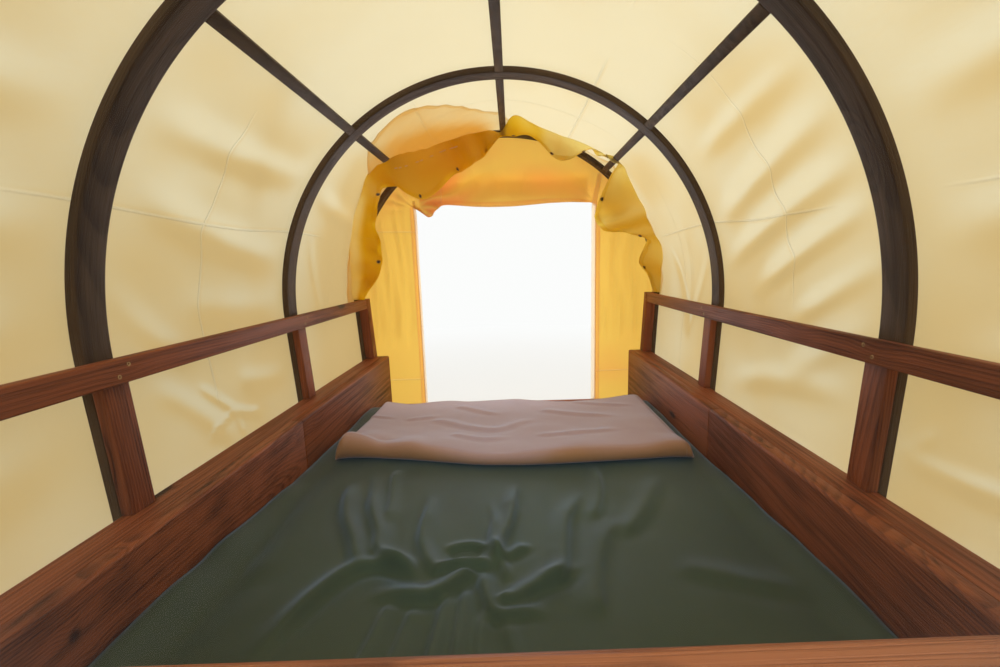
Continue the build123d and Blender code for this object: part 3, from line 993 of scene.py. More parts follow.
# Heads of the fastenings, each a profile of radius and height from its rim to its middle
DOMED_SCREW = (
    (0.0056, -0.001), (0.0056, 0.0006), (0.0048, 0.0020), (0.0030, 0.0028), (0.0016, 0.0028),
    (0.0013, 0.0012), (0.0001, 0.0010),
)
SUNK_SCREW = ((0.0042, -0.0006), (0.0042, 0.0003), (0.0020, 0.0001), (0.0014, -0.0010), (0.0001, -0.0012))
NAIL = ((0.0036, -0.0008), (0.0036, 0.0002), (0.0022, 0.0006), (0.0001, 0.0006))

# How far the staples' screws lie from a bow's middle, how thick the staples' ears are, how far a rail's inner
# face lies from the bows' inner faces, and the floor's boards and the gaps between them
EAR_REACH, EAR_THICKNESS = 0.0463, 0.004
POST_AND_RAIL = 0.022 + 0.020
FLOOR_BOARDS, FLOOR_GAP = 10, 0.003


class WAGON_OT_ironwork(bpy.types.Operator):
    """Black the staples, finish the clear pane, and drive in the screws and nails"""

    bl_idname = "wagon.ironwork"
    bl_label = "Staples, screws and pane"

    def execute(self, context):
        mesh = merged_copy("staples", "bow_staples")
        mesh.materials.append(materials["iron"])
        piece = new_piece("bow_staples_iron", mesh)
        bevel(piece, 0.0008, 1, 40)
        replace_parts(piece, "bow_staples")
        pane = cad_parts["window_pane"]
        pane.data.materials.clear()
        pane.data.materials.append(materials["pane"])
        self.staple_screws()
        self.rail_screws()
        self.floor_nails()
        return {"FINISHED"}

    @staticmethod
    def leaning(radius, z):
        """Place across of a face that leans with the bows' legs, at a height."""
        return radius / np.cos(LEG_FLARE) - np.tan(LEG_FLARE) * (ARCH_Z - z)

    def staple_screws(self):
        """Domed screws with a dished drive, one in each ear of each staple."""
        low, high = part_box("bow_staples")
        z = (low.z + high.z) / 2
        face = self.leaning(BOW_RADIUS - BOW_THICKNESS, z)
        out = np.array([np.cos(LEG_FLARE), 0, -np.sin(LEG_FLARE)])
        places, normals = [], []
        for near, far in BOW_FACES:
            for y in ((near + far) / 2 - EAR_REACH, (near + far) / 2 + EAR_REACH):
                for side in (-1, 1):
                    normal = out * (side, 1, 1)
                    places.append(np.array([side * face, y, z]) + normal * EAR_THICKNESS)
                    normals.append(normal)
        repeated(
            "staple_screws", *turned(DOMED_SCREW), np.array(places), frame_of(normals), materials["iron"],
            "black_iron",
        )

    def rail_screws(self):
        """Countersunk screws, two through each hand rail into each post."""
        low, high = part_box("rail_right")
        into = np.array([-np.cos(LEG_FLARE), 0, np.sin(LEG_FLARE)])
        places, normals = [], []
        for near, _ in BOW_FACES:
            for step, z in ((0.016, low.z + 0.014), (0.041, high.z - 0.013)):
                x = self.leaning(BOW_RADIUS - BOW_THICKNESS - POST_AND_RAIL, z)
                for side in (-1, 1):
                    places.append([side * x, near + step, z])
                    normals.append(into * (side, 1, 1))
        repeated(
            "rail_screws", *turned(SUNK_SCREW), np.array(places), frame_of(normals), materials["brass"],
            "black_iron",
        )

    @staticmethod
    def floor_nails():
        """Pairs of flat nail heads where each floor board crosses a bearer."""
        low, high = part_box("floor_boards")
        pitch = (high.x - low.x + FLOOR_GAP) / FLOOR_BOARDS
        across = low.x + pitch * (np.arange(FLOOR_BOARDS)[:, None] + np.array([0.22, 0.78]) - 0.01)
        x, y = grid(across.ravel(), np.array([(near + far) / 2 for near, far in BOW_FACES]))
        places = np.stack([x.ravel(), y.ravel(), np.full(x.size, high.z)], -1)
        normals = np.zeros_like(places) + (0, 0, 1)
        repeated(
            "floor_nails", *turned(NAIL, 10), places, frame_of(normals), materials["iron"], "black_iron"
        )


# Canvas

# The cover lies this far outside the bows' outer faces
COVER_RADIUS = BOW_RADIUS + 0.0030
cover_low, cover_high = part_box("cover")
COVER_REACH = hoop_length(COVER_RADIUS, cover_low.z)

# Folds of the cover: start and end, each as arc length from the ridge and distance from the first bow,
# then bend, width and height
COVER_FOLDS = (
    (-0.735, 0.84, -0.735, 1.56, 0.012, 0.046, 0.010),
    (-0.880, 0.88, -1.020, 1.56, 0.020, 0.050, 0.011),
    (-1.060, 0.84, -1.230, 1.02, 0.010, 0.034, 0.008),
    (-1.120, 1.05, -1.160, 1.52, 0.010, 0.050, 0.006),
    (-1.291, 0.93, -1.480, 1.13, -0.010, 0.032, 0.008),
    (-1.410, 1.160, -1.320, 1.050, 0.0, 0.014, 0.005),
    (-1.410, 1.160, -1.490, 1.180, 0.0, 0.012, 0.004),
    (-1.410, 1.160, -1.450, 1.270, 0.005, 0.014, 0.005),
    (-1.410, 1.160, -1.455, 1.050, 0.0, 0.012, 0.004),
    (-1.340, 1.200, -1.380, 1.480, 0.010, 0.036, 0.006),
    (0.735, 0.84, 0.920, 1.50, 0.010, 0.040, 0.011), (0.845, 0.84, 1.060, 1.50, 0.012, 0.036, 0.011),
    (0.935, 0.84, 1.120, 1.28, 0.008, 0.032, 0.010), (1.050, 0.82, 1.190, 1.10, 0.006, 0.030, 0.009),
    (1.180, 0.86, 1.330, 1.10, 0.0, 0.040, 0.008), (1.340, 0.90, 1.430, 1.40, 0.020, 0.040, 0.006),
    (1.330, 1.80, 1.010, 1.96, 0.010, 0.022, 0.007), (1.320, 1.81, 1.020, 1.64, -0.010, 0.022, 0.007),
    (1.300, 1.84, 0.900, 1.80, 0.010, 0.026, 0.006), (-1.280, 1.84, -0.930, 1.70, 0.010, 0.026, 0.006),
    (-1.300, 1.86, -0.960, 1.98, -0.010, 0.024, 0.006),
    (-0.760, 1.62, -0.840, 2.16, 0.020, 0.044, 0.008),
    (-0.770, 0.12, -0.760, 0.72, 0.015, 0.048, 0.010),
    (-0.930, 0.10, -0.960, 0.76, 0.020, 0.052, 0.010),
    (-1.150, 0.16, -1.120, 0.72, 0.020, 0.052, 0.008),
    (-1.420, 0.12, -1.330, 0.70, 0.010, 0.050, 0.007), (0.760, 0.12, 0.790, 0.74, 0.015, 0.044, 0.009),
    (0.950, 0.10, 1.010, 0.72, 0.020, 0.048, 0.010), (1.160, 0.12, 1.220, 0.70, 0.015, 0.048, 0.008),
    (1.408, 0.765, 1.395, 0.540, 0.006, 0.020, 0.006),
    (1.408, 0.765, 1.345, 0.690, 0.004, 0.014, 0.005), (0.640, 0.86, 0.700, 1.40, 0.006, 0.034, 0.006),
)


def cover_sink(s, y, sag):
    """How far the cover lies outside its own line, negative inwards.

    It sinks by a squared sine of the bay, more on the sides than between the purlins. Long soft folds and
    smooth noise grow down the sides, and the hem is loose and waves outwards.
    """
    share = np.zeros_like(y)
    for (_, start), (end, _) in zip(BOW_FACES, BOW_FACES[1:]):
        inside = (y > start) & (y < end)
        share = np.where(inside, np.sin(np.pi * (y - start) / (end - start)), share)
    purlin = PURLIN_ANGLE * COVER_RADIUS
    below = np.abs(s) - purlin
    between = np.abs(np.sin(np.pi * s / purlin))
    upper = np.abs(s) < purlin
    held = np.where(upper, between, 1)
    loose = smooth_step(np.abs(s), COVER_REACH - 0.20, COVER_REACH)
    folds = fold_field(s, y - FRONT_Y, COVER_FOLDS) * smooth_step(below, 0.0, 0.12)
    puff = smooth_noise(s, y, 5, 0.26) * 0.0030 * held
    tug = np.sin(2 * np.pi * (y * 5.2 + s * 1.7)) * 0.0010 * held
    depth = np.where(upper, 0.40 * between**1.5, smooth_step(below, 0.0, 0.28))
    sink = (-sag * depth * share**0.5 + folds + puff + tug) * share**0.9 * (1 - loose)
    hem_wave = np.abs(np.sin(y * 17 + smooth_noise(s, y, 9, 0.3) * 2)) * 0.006 * loose
    return np.minimum(sink, 0.002) + hem_wave


def painted_cover_shade(s, y, sag):
    """Painted shade and light on the cover: darker where it leans down and lighter where it leans up, which
    draws its folds, darker low on the sides and on the left towards the skirt, and lighter over the top.
    """
    step = 0.004
    lean = (cover_sink(s + step, y, sag) - cover_sink(s - step, y, sag)) / (2 * step) * np.sign(s)
    # Painted shade low on the sides and on the left towards the skirt, and painted light over the top
    low = smooth_step(np.abs(s), 0.75, 1.25) * 0.22
    painted_skirt_side_shade = smooth_step(y - FRONT_Y, 1.62, 2.02) * smooth_step(-s, 0.55, 0.80) * 0.70
    top = (1 - smooth_step(np.abs(s), 0.40, 0.62)) * 0.25
    return np.clip(-lean * 2.4, -0.5, 0.6) + low + painted_skirt_side_shade - top


# Doubled end of the cover: how far it lies inside the cover, the height of its feet, the depth that it is cut
# to, and its front edge as angle from the ridge in degrees and distance from the first bow
LINING_GAP, LINING_FOOT_Z, LINING_DEPTH = 0.0017, ARCH_Z - 0.05, 0.62
LINING_EDGE = np.array([
    (-95, 2.12), (-60, 2.12), (-52, 2.06), (-47, 1.92), (-43, 1.79), (-36, 1.70), (-30, 1.67),
    (-24, 1.68), (-16, 1.76), (-8, 1.89), (-1, 1.97), (3, 2.10), (11, 2.17), (20, 2.18), (26, 2.17),
    (34, 2.16), (41, 2.12), (49, 2.15), (58, 2.17), (69, 2.17), (80, 2.17), (95, 2.18),
])


class WAGON_OT_cover(bpy.types.Operator):
    """Spread the cover over the bows, sunk between them and drawn into soft folds"""

    bl_idname = "wagon.cover"
    bl_label = "Cover"

    def execute(self, context):
        canvas = context.scene.wagon_canvas
        half = spaced(0, COVER_REACH, 131, (0.68, 1.46), 2.0)
        s, y = grid(np.concatenate([-half[:0:-1], half]), np.linspace(cover_low.y, cover_high.y, 186))
        points = on_hoop(s, y, COVER_RADIUS, cover_sink(s, y, canvas.sag))
        hem = np.minimum(COVER_REACH - np.abs(s), np.minimum(y - cover_low.y, cover_high.y - y))
        piece = sheet_piece(
            "canvas_cover", points, np.stack([s, y - FRONT_Y], -1), materials["cover"], canvas.thickness,
            flip=True, hem=hem, creases=1.0, seed=1, shade=painted_cover_shade(s, y, canvas.sag),
        )
        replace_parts(piece, "cover")
        return {"FINISHED"}


# Turn buttons: how many hold a bay of the hem, how far the first and the last lie from the bay's bows, and
# how far above the cover's edge
BUTTONS, BUTTON_START, BUTTON_END, BUTTON_RISE = 4, 0.10, 0.04, 0.030


class WAGON_OT_fastenings(bpy.types.Operator):
    """Button the cover's side hems down: oval brass eyelets over iron turn buttons on the side boards"""

    bl_idname = "wagon.fastenings"
    bl_label = "Turn buttons"

    def execute(self, context):
        bays = [
            np.linspace(near + BUTTON_START, far - BUTTON_END, BUTTONS)
            for (near, _), (far, _) in zip(BOW_FACES, BOW_FACES[1:])
        ]
        y = np.concatenate(bays)
        side = np.repeat([-1.0, 1.0], len(y))
        y = np.concatenate([y, y])
        s = side * (COVER_REACH - BUTTON_RISE)
        off = cover_sink(s, y, context.scene.wagon_canvas.sag) + 0.0012
        places = on_hoop(s, y, COVER_RADIUS, off)
        _, _, nx, nz = hoop(s, COVER_RADIUS)
        axes = frame_of(np.stack([nx, np.zeros_like(nx), nz], -1))
        eyelet = wire_ring(0.0100, 0.0155, 0.0030, 0.0011, 24)
        repeated("hem_eyelets", *eyelet, places, axes, materials["brass"], "black_iron")
        repeated("turn_buttons", *self.turn_button(), places, axes, materials["iron"], "black_iron")
        return {"FINISHED"}

    @staticmethod
    def turn_button():
        """Oblong head on a turned stem, over a round plate.

        The head is a squared ball: cos^0.7 of its latitude, times the signed 0.8th powers of cos and sin.
        """
        rows, columns = 9, 20
        high, turn = grid(np.linspace(-np.pi / 2, np.pi / 2, rows), full_turn(columns))
        thick = np.cos(high) ** 0.7
        head = np.stack(
            [
                0.0125 * thick * signed_power(np.cos(turn), 0.8) + 1e-5 * np.cos(turn),
                0.0045 * thick * signed_power(np.sin(turn), 0.8) + 1e-5 * np.sin(turn),
                0.0080 + 0.0030 * np.sin(high),
            ],
            -1,
        ).reshape(-1, 3)
        stem, stem_quads = turned([(0.0030, -0.020), (0.0030, 0.0062), (0.0001, 0.0062)], 12)
        plate, plate_quads = turned([(0.0085, 0.0), (0.0080, 0.0012), (0.0001, 0.0012)], 16)
        quads = [grid_faces(rows, columns, False, True), stem_quads + len(head)]
        quads.append(plate_quads + len(head) + len(stem))
        return np.concatenate([head, stem, plate]), np.concatenate(quads)


class WAGON_OT_lining(bpy.types.Operator):
    """Lay the canvas's doubled end against the cover's inside at the door end, with a wavy front edge"""

    bl_idname = "wagon.lining"
    bl_label = "Doubled end of the cover"

    def execute(self, context):
        canvas = context.scene.wagon_canvas
        radius = COVER_RADIUS - LINING_GAP
        reach = hoop_length(radius, LINING_FOOT_Z)
        s = np.linspace(-reach, reach, 241)
        front = FRONT_Y + np.interp(np.degrees(s / radius), LINING_EDGE[:, 0], LINING_EDGE[:, 1])
        front = (front + smooth_noise(s, s * 0, 12, 0.12) * 0.010)[:, None]
        v = np.linspace(0, 1, 61)
        y = front * (1 - v) + (BOW_FACES[-1][1] + 0.010) * v
        s = np.broadcast_to(s[:, None], y.shape)
        # It hangs clear of the cover between the bows and purlins, and touches at them
        clear = smooth_step(BOW_FACES[-1][0] - y, 0.0, 0.08) * smooth_step(y - BOW_FACES[-2][1], 0.0, 0.05)
        angle = s / radius
        ridge = bell(np.abs(np.abs(angle) - PURLIN_ANGLE), 0.03) + bell(angle, 0.03)
        sway = np.sin((s * 0.8 + y) * 30) ** 2
        drape = 0.004 + 0.007 * np.abs(smooth_noise(s, y, 14, 0.16)) + 0.004 * sway
        off = cover_sink(s, y, canvas.sag) - drape * clear * (1 - np.clip(ridge, 0, 1))
        points = on_hoop(s, y, radius, off)
        # Deeper colour away from its front edge on the left, and pale on the right
        left = smooth_step(-s, -0.02, 0.12)
        shade = (0.10 + 0.50 * smooth_step(y - front, 0.10, 0.45)) * left - 0.30 * (1 - left)
        piece = sheet_piece(
            "canvas_lining", points, np.stack([s, y], -1), materials["lining"], canvas.thickness,
            flip=True, hem=np.minimum(y - front, 1.0), creases=0.6, seed=2, shade=shade,
        )
        return {"FINISHED"}


# Half the doorway's width, how far its head lies below the curtain's top, and its corners' radius
DOOR_HALF, DOOR_DROP, DOOR_CORNER = 0.445, 0.130, 0.025
WALL_RADIUS = BOW_RADIUS - 0.0006

# Zip tapes: name, side, how far they run past the doorway's head, half their width, and how far they lie
# inside the doorway's edge
TAPES = (("left", -1, 0.010, 0.007, 0.001), ("right", 1, 0.128, 0.012, 0.006))


def doorway_outline(shares, foot_z, top_z):
    """Points of the doorway's edge at shares 0..1 of the way up, across and down, with rounded corners."""
    turn = np.linspace(np.pi, np.pi / 2, 13)
    across = -DOOR_HALF + DOOR_CORNER + DOOR_CORNER * np.cos(turn)
    left = np.stack([across, top_z - DOOR_CORNER + DOOR_CORNER * np.sin(turn)], -1)
    line = np.vstack([[-DOOR_HALF, foot_z], left, left[::-1] * (-1, 1), [DOOR_HALF, foot_z]])
    run = run_along(line)
    run /= run[-1]
    return np.stack([np.interp(shares, run, line[:, 0]), np.interp(shares, run, line[:, 1])], -1)


class WAGON_OT_end_wall(bpy.types.Operator):
    """Hang the yellow end wall with its open doorway, and sew the zip tapes to the doorway's edges"""

    bl_idname = "wagon.end_wall"
    bl_label = "End wall"

    def execute(self, context):
        canvas = context.scene.wagon_canvas
        low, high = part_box("rear_wall")
        plane_y = (low.y + high.y) / 2
        top_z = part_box("door_curtain")[1].z - DOOR_DROP
        reach = hoop_length(WALL_RADIUS, low.z)
        s = np.linspace(-reach, reach, 361)
        outer = np.stack(hoop(s, WALL_RADIUS)[:2], -1)
        shares = np.interp(s, [s[0], -0.62, 0.62, s[-1]], [0.0, 0.372, 0.628, 1.0])
        inner = doorway_outline(shares, low.z, top_z)
        # The head hangs a little, and by one loose corner at the left
        hang = 0.060 * bell(inner[:, 0] + 0.372, 0.040) + 0.016 + 0.008 * np.sin(inner[:, 0] * 9 + 1.9)
        inner[:, 1] -= hang * smooth_step(inner[:, 1] - top_z, -0.03, -0.002)
        v = np.linspace(0, 1, 37)
        flat = inner[:, None] * (1 - v)[None, :, None] + outer[:, None] * v[None, :, None]
        x, z = flat[..., 0], flat[..., 1]
        off_door = np.abs(x) - DOOR_HALF
        side = smooth_step(top_z + 0.14 - z, 0.0, 0.25) * smooth_step(off_door, -0.03, 0.0)
        head = 1 - side
        free = side * np.sin(np.pi * v)[None, :] ** 0.7 + head * np.cos(np.pi / 2 * v)[None, :] ** 0.7
        # Upright waves in the sides, and folds that fan out from the doorway's upper corners in the head
        waves = np.sin(off_door * 46 + smooth_noise(z, x, 21, 0.35) * 2.6) * 0.011 * side
        waves = waves + np.sin(off_door * 118 + smooth_noise(z, x, 24, 0.25) * 3.0) * 0.004 * side
        dx, dz = DOOR_HALF - np.abs(x), z - top_z + 0.02
        away = np.hypot(dx, dz)
        count, height = np.where(x < 0, 7.0, 4.0), np.where(x < 0, 0.026, 0.013)
        rays = np.abs(np.sin(np.arctan2(dz, dx) * count + smooth_noise(x, z, 23, 0.2) * 1.2)) * height
        rays = rays * bell(away, 0.34) * smooth_step(away, 0.01, 0.09)
        folds = (rays + 0.010 * np.abs(smooth_noise(x * 2, z, 22, 0.16))) * head
        lift = smooth_step(z - 0.50, 0.0, 0.12)
        bulge = 0.014 * smooth_step(z - ARCH_Z, 0.0, 0.25)
        depth = -(np.abs(waves) + np.abs(folds) + bulge) * free * lift
        points = np.stack([x, plane_y + depth, z], -1)
        # Deeper peach over the head, with its fan folds painted in as lighter and darker rays: painted light
        # and shade
        peach_and_fold_shade = (0.44 + 30 * (rays - 0.012)) * bell(x + 0.12, 0.42) * smooth_step(z, 1.02, 1.14) * head
        hem = np.minimum(np.linalg.norm(flat - inner[:, None], axis=-1), np.abs(z - low.z))
        piece = sheet_piece(
            "canvas_end_wall", points, flat, materials["wall"], canvas.thickness,
            flip=True, hem=hem, creases=0.8, seed=3, shade=peach_and_fold_shade - 0.28,
        )
        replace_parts(piece, "rear_wall")
        for tape in TAPES:
            self.zip_tape(points, low.z, top_z, *tape)
        return {"FINISHED"}

    def zip_tape(self, wall, foot_z, top_z, name, side, past, half, inside):
        """Narrow tape 2 mm before the wall, with a raised line of teeth, which leans out past the head."""
        run = np.linspace(foot_z + 0.02, top_z + past, 110)
        across = np.linspace(-half, half, 9)
        lean = smooth_step(run, top_z - 0.02, top_z + 0.17) * 0.034
        x = side * (DOOR_HALF - inside + lean)[:, None] + across[None]
        z = np.broadcast_to(run[:, None], x.shape)
        teeth = 0.0012 * (np.abs(across) < 0.003)
        points = np.stack([x, self.wall_at(wall, x, z) - 0.0022 - teeth[None], z], -1)
        piece = sheet_piece(
            "zip_tape_" + name, points, np.stack([x, z], -1), materials["zip"], 0.0012,
            flip=True,
        )

    @staticmethod
    def wall_at(points, x, z):
        """Depth of the wall at places on it.

        It is the mean over the grid's points, weighted by exp(-(distance / 9 mm)^2).
        """
        cloth = points.reshape(-1, 3)
        near = cloth[np.abs(cloth[:, 0] - x.mean()) < 0.08]
        far = (x.reshape(-1, 1) - near[:, 0]) ** 2 + (z.reshape(-1, 1) - near[:, 2]) ** 2
        weight = np.exp(-far / 0.009**2) + 1e-9 * np.exp(-far / 0.03**2)
        return ((weight * near[:, 1]).sum(1) / weight.sum(1)).reshape(x.shape)


# Door curtain: how far it laps up the end wall, how far its roll hangs below that, the radius of the roll's
# inmost turn, its turns, and the places across where it is tied and drawn in
CURTAIN_LAP, ROLL_DROP, ROLL_CORE = 0.060, 0.035, 0.014
CURTAIN_TURNS = 1.75
CURTAIN_TIES = (-0.20, 0.20)


class WAGON_OT_curtain(bpy.types.Operator):
    """Roll the door curtain up above the doorway: a spiral whose radius and droop change along its length"""

    bl_idname = "wagon.curtain"
    bl_label = "Door curtain"

    def execute(self, context):
        canvas = context.scene.wagon_canvas
        low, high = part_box("door_curtain")
        radius = (high.y - low.y) / 2 - 0.001
        centre_y, centre_z = (low.y + high.y) / 2, high.z - CURTAIN_LAP - ROLL_DROP
        t, x = grid(np.linspace(0, 1, 190), np.linspace(low.x + 0.004, high.x - 0.004, 96))
        angle = np.pi - 2 * np.pi * CURTAIN_TURNS * (1 - t)
        pinch = sum(bell(x - tie, 0.035) for tie in CURTAIN_TIES)
        loose = 0.10 * np.abs(smooth_noise(x + t * 0.06, t * 3, 31, 0.07)) + 0.16 * pinch
        r = (ROLL_CORE + (radius - ROLL_CORE - 0.002) * t**0.8) * (1 - loose * t)
        squash = 1 - 0.10 * smooth_noise(x, t * 0, 33, 0.2)
        droop = 0.004 * smooth_noise(x, t * 0, 34, 0.15)
        z = centre_z + r * np.sin(angle) * squash + droop
        rolled = np.stack([x, centre_y + r * np.cos(angle), z], -1)
        # From the roll a flat strip curves up against the end wall
        up = np.linspace(0, 1, 18)[1:, None]
        x, y, z = rolled[-1].T
        bent = (1 - up) ** 2
        strip_y = y * bent + (low.y + 0.0012) * (1 - bent)
        strip_z = z + up * (high.z - 0.001 - z)
        strip = np.stack([np.broadcast_to(x, strip_y.shape), strip_y, strip_z], -1)
        points = np.concatenate([rolled, strip])
        run = mean_run(points)[:, None]
        flat = np.stack([points[..., 0], np.broadcast_to(run, points.shape[:2])], -1)
        hem = np.minimum(high.x - np.abs(points[..., 0]), run)
        piece = sheet_piece(
            "canvas_curtain", points, flat, materials["curtain"], canvas.thickness,
            hem=hem, seed=4,
        )
        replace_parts(piece, "door_curtain")
        return {"FINISHED"}


# Free edge of the skirt from the left rail over the ridge to the right rail: its place across and above the
# arch's centre on the last bow's plane, how far it hangs before that plane, the angle of the seam above it in
# degrees, and how far the seam lies before the plane
SKIRT_EDGE = (
    (-0.692, -0.016, 0.05, -91, 0.03), (-0.625, 0.102, 0.06, -84, 0.04), (-0.591, 0.163, 0.10, -78, 0.08),
    (-0.607, 0.266, 0.16, -68, 0.14), (-0.608, 0.381, 0.20, -58, 0.22), (-0.580, 0.480, 0.26, -49, 0.30),
    (-0.520, 0.515, 0.31, -42, 0.33), (-0.450, 0.470, 0.22, -39, 0.31), (-0.379, 0.444, 0.12, -36, 0.22),
    (-0.302, 0.488, 0.06, -31, 0.12), (-0.229, 0.553, 0.03, -26, 0.05), (-0.171, 0.588, 0.02, -20, 0.03),
    (-0.105, 0.622, 0.02, -14, 0.02), (-0.062, 0.669, 0.02, -9, 0.02), (-0.020, 0.712, 0.02, -4.5, 0.03),
    (0.030, 0.722, 0.03, -1.2, 0.05), (0.080, 0.724, 0.05, 3.2, 0.24), (0.158, 0.706, 0.05, 9, 0.17),
    (0.197, 0.656, 0.03, 14, 0.11), (0.257, 0.613, 0.03, 20, 0.09), (0.303, 0.616, 0.03, 25, 0.11),
    (0.355, 0.640, 0.05, 30, 0.13), (0.405, 0.660, 0.08, 34, 0.15), (0.439, 0.629, 0.06, 37, 0.18),
    (0.485, 0.630, 0.08, 40, 0.22), (0.535, 0.600, 0.12, 43, 0.23), (0.500, 0.535, 0.10, 47, 0.16),
    (0.440, 0.405, 0.05, 53, 0.11), (0.440, 0.306, 0.04, 60, 0.07), (0.570, 0.273, 0.06, 68, 0.06),
    (0.675, 0.250, 0.10, 73, 0.11), (0.660, 0.205, 0.08, 77, 0.10), (0.645, 0.135, 0.05, 82, 0.06),
    (0.695, 0.062, 0.03, 87, 0.03), (0.712, -0.010, 0.02, 91, 0.02),
)

# Places of its eyelets as shares of its length, and of its stitches in degrees from the ridge
SKIRT_EYELETS = (0.06, 0.145, 0.235, 0.305, 0.375, 0.455, 0.545, 0.625, 0.70, 0.79, 0.87, 0.95)
STITCH_ANGLES = (-38.5, -37.2, -35.5, -32.5, -31.2, -28.0, -24.6, -23.2, -20.4, -19.0)

# Painted shade and light of the skirt by angle from the ridge in degrees: deep yellow where it lies in shade,
# pale cream where it is lit
SKIRT_SHADE_BY_ANGLE = np.array([
    (-91, -0.30), (-55, -0.30), (-46, 0.30), (-12, 0.42), (-3, 0.36), (6, 0.36), (13, 0.12), (19, -0.34),
    (34, -0.34), (42, -0.10), (50, 0.05), (62, 0.12), (75, 0.10), (91, 0.10),
])

# The skirt's seam lies this far from the arch's middle, and nearer to it under the purlins
SKIRT_RADIUS, PURLIN_DIP = BOW_RADIUS - 0.006, 0.022

# Eyelets of the skirt: how far they lie from its edge, their radius, and half their wire's width
EYELET_INSET, EYELET_RADIUS, EYELET_WIRE = 0.016, 0.0075, 0.0022


def seen_at(across, above, before, plane):
    """Move points along their lines of sight, from a plane to places before it.

    The plane's distance is from the first bow. A point that would still lie outside the bows comes nearer in
    steps until it is inside them.
    """
    steps = before[None] + np.linspace(0, 0.6, 61)[:, None]
    share = (plane - EYE[1] - steps) / (plane - EYE[1])
    x, z = EYE[0] + (across - EYE[0]) * share, EYE[2] + (above - EYE[2]) * share
    inside = np.hypot(x, np.maximum(z, 0)) < BOW_RADIUS - 0.016
    first = np.argmax(inside, axis=0)
    pick = np.arange(len(across))
    return x[first, pick], z[first, pick], steps[first, pick]


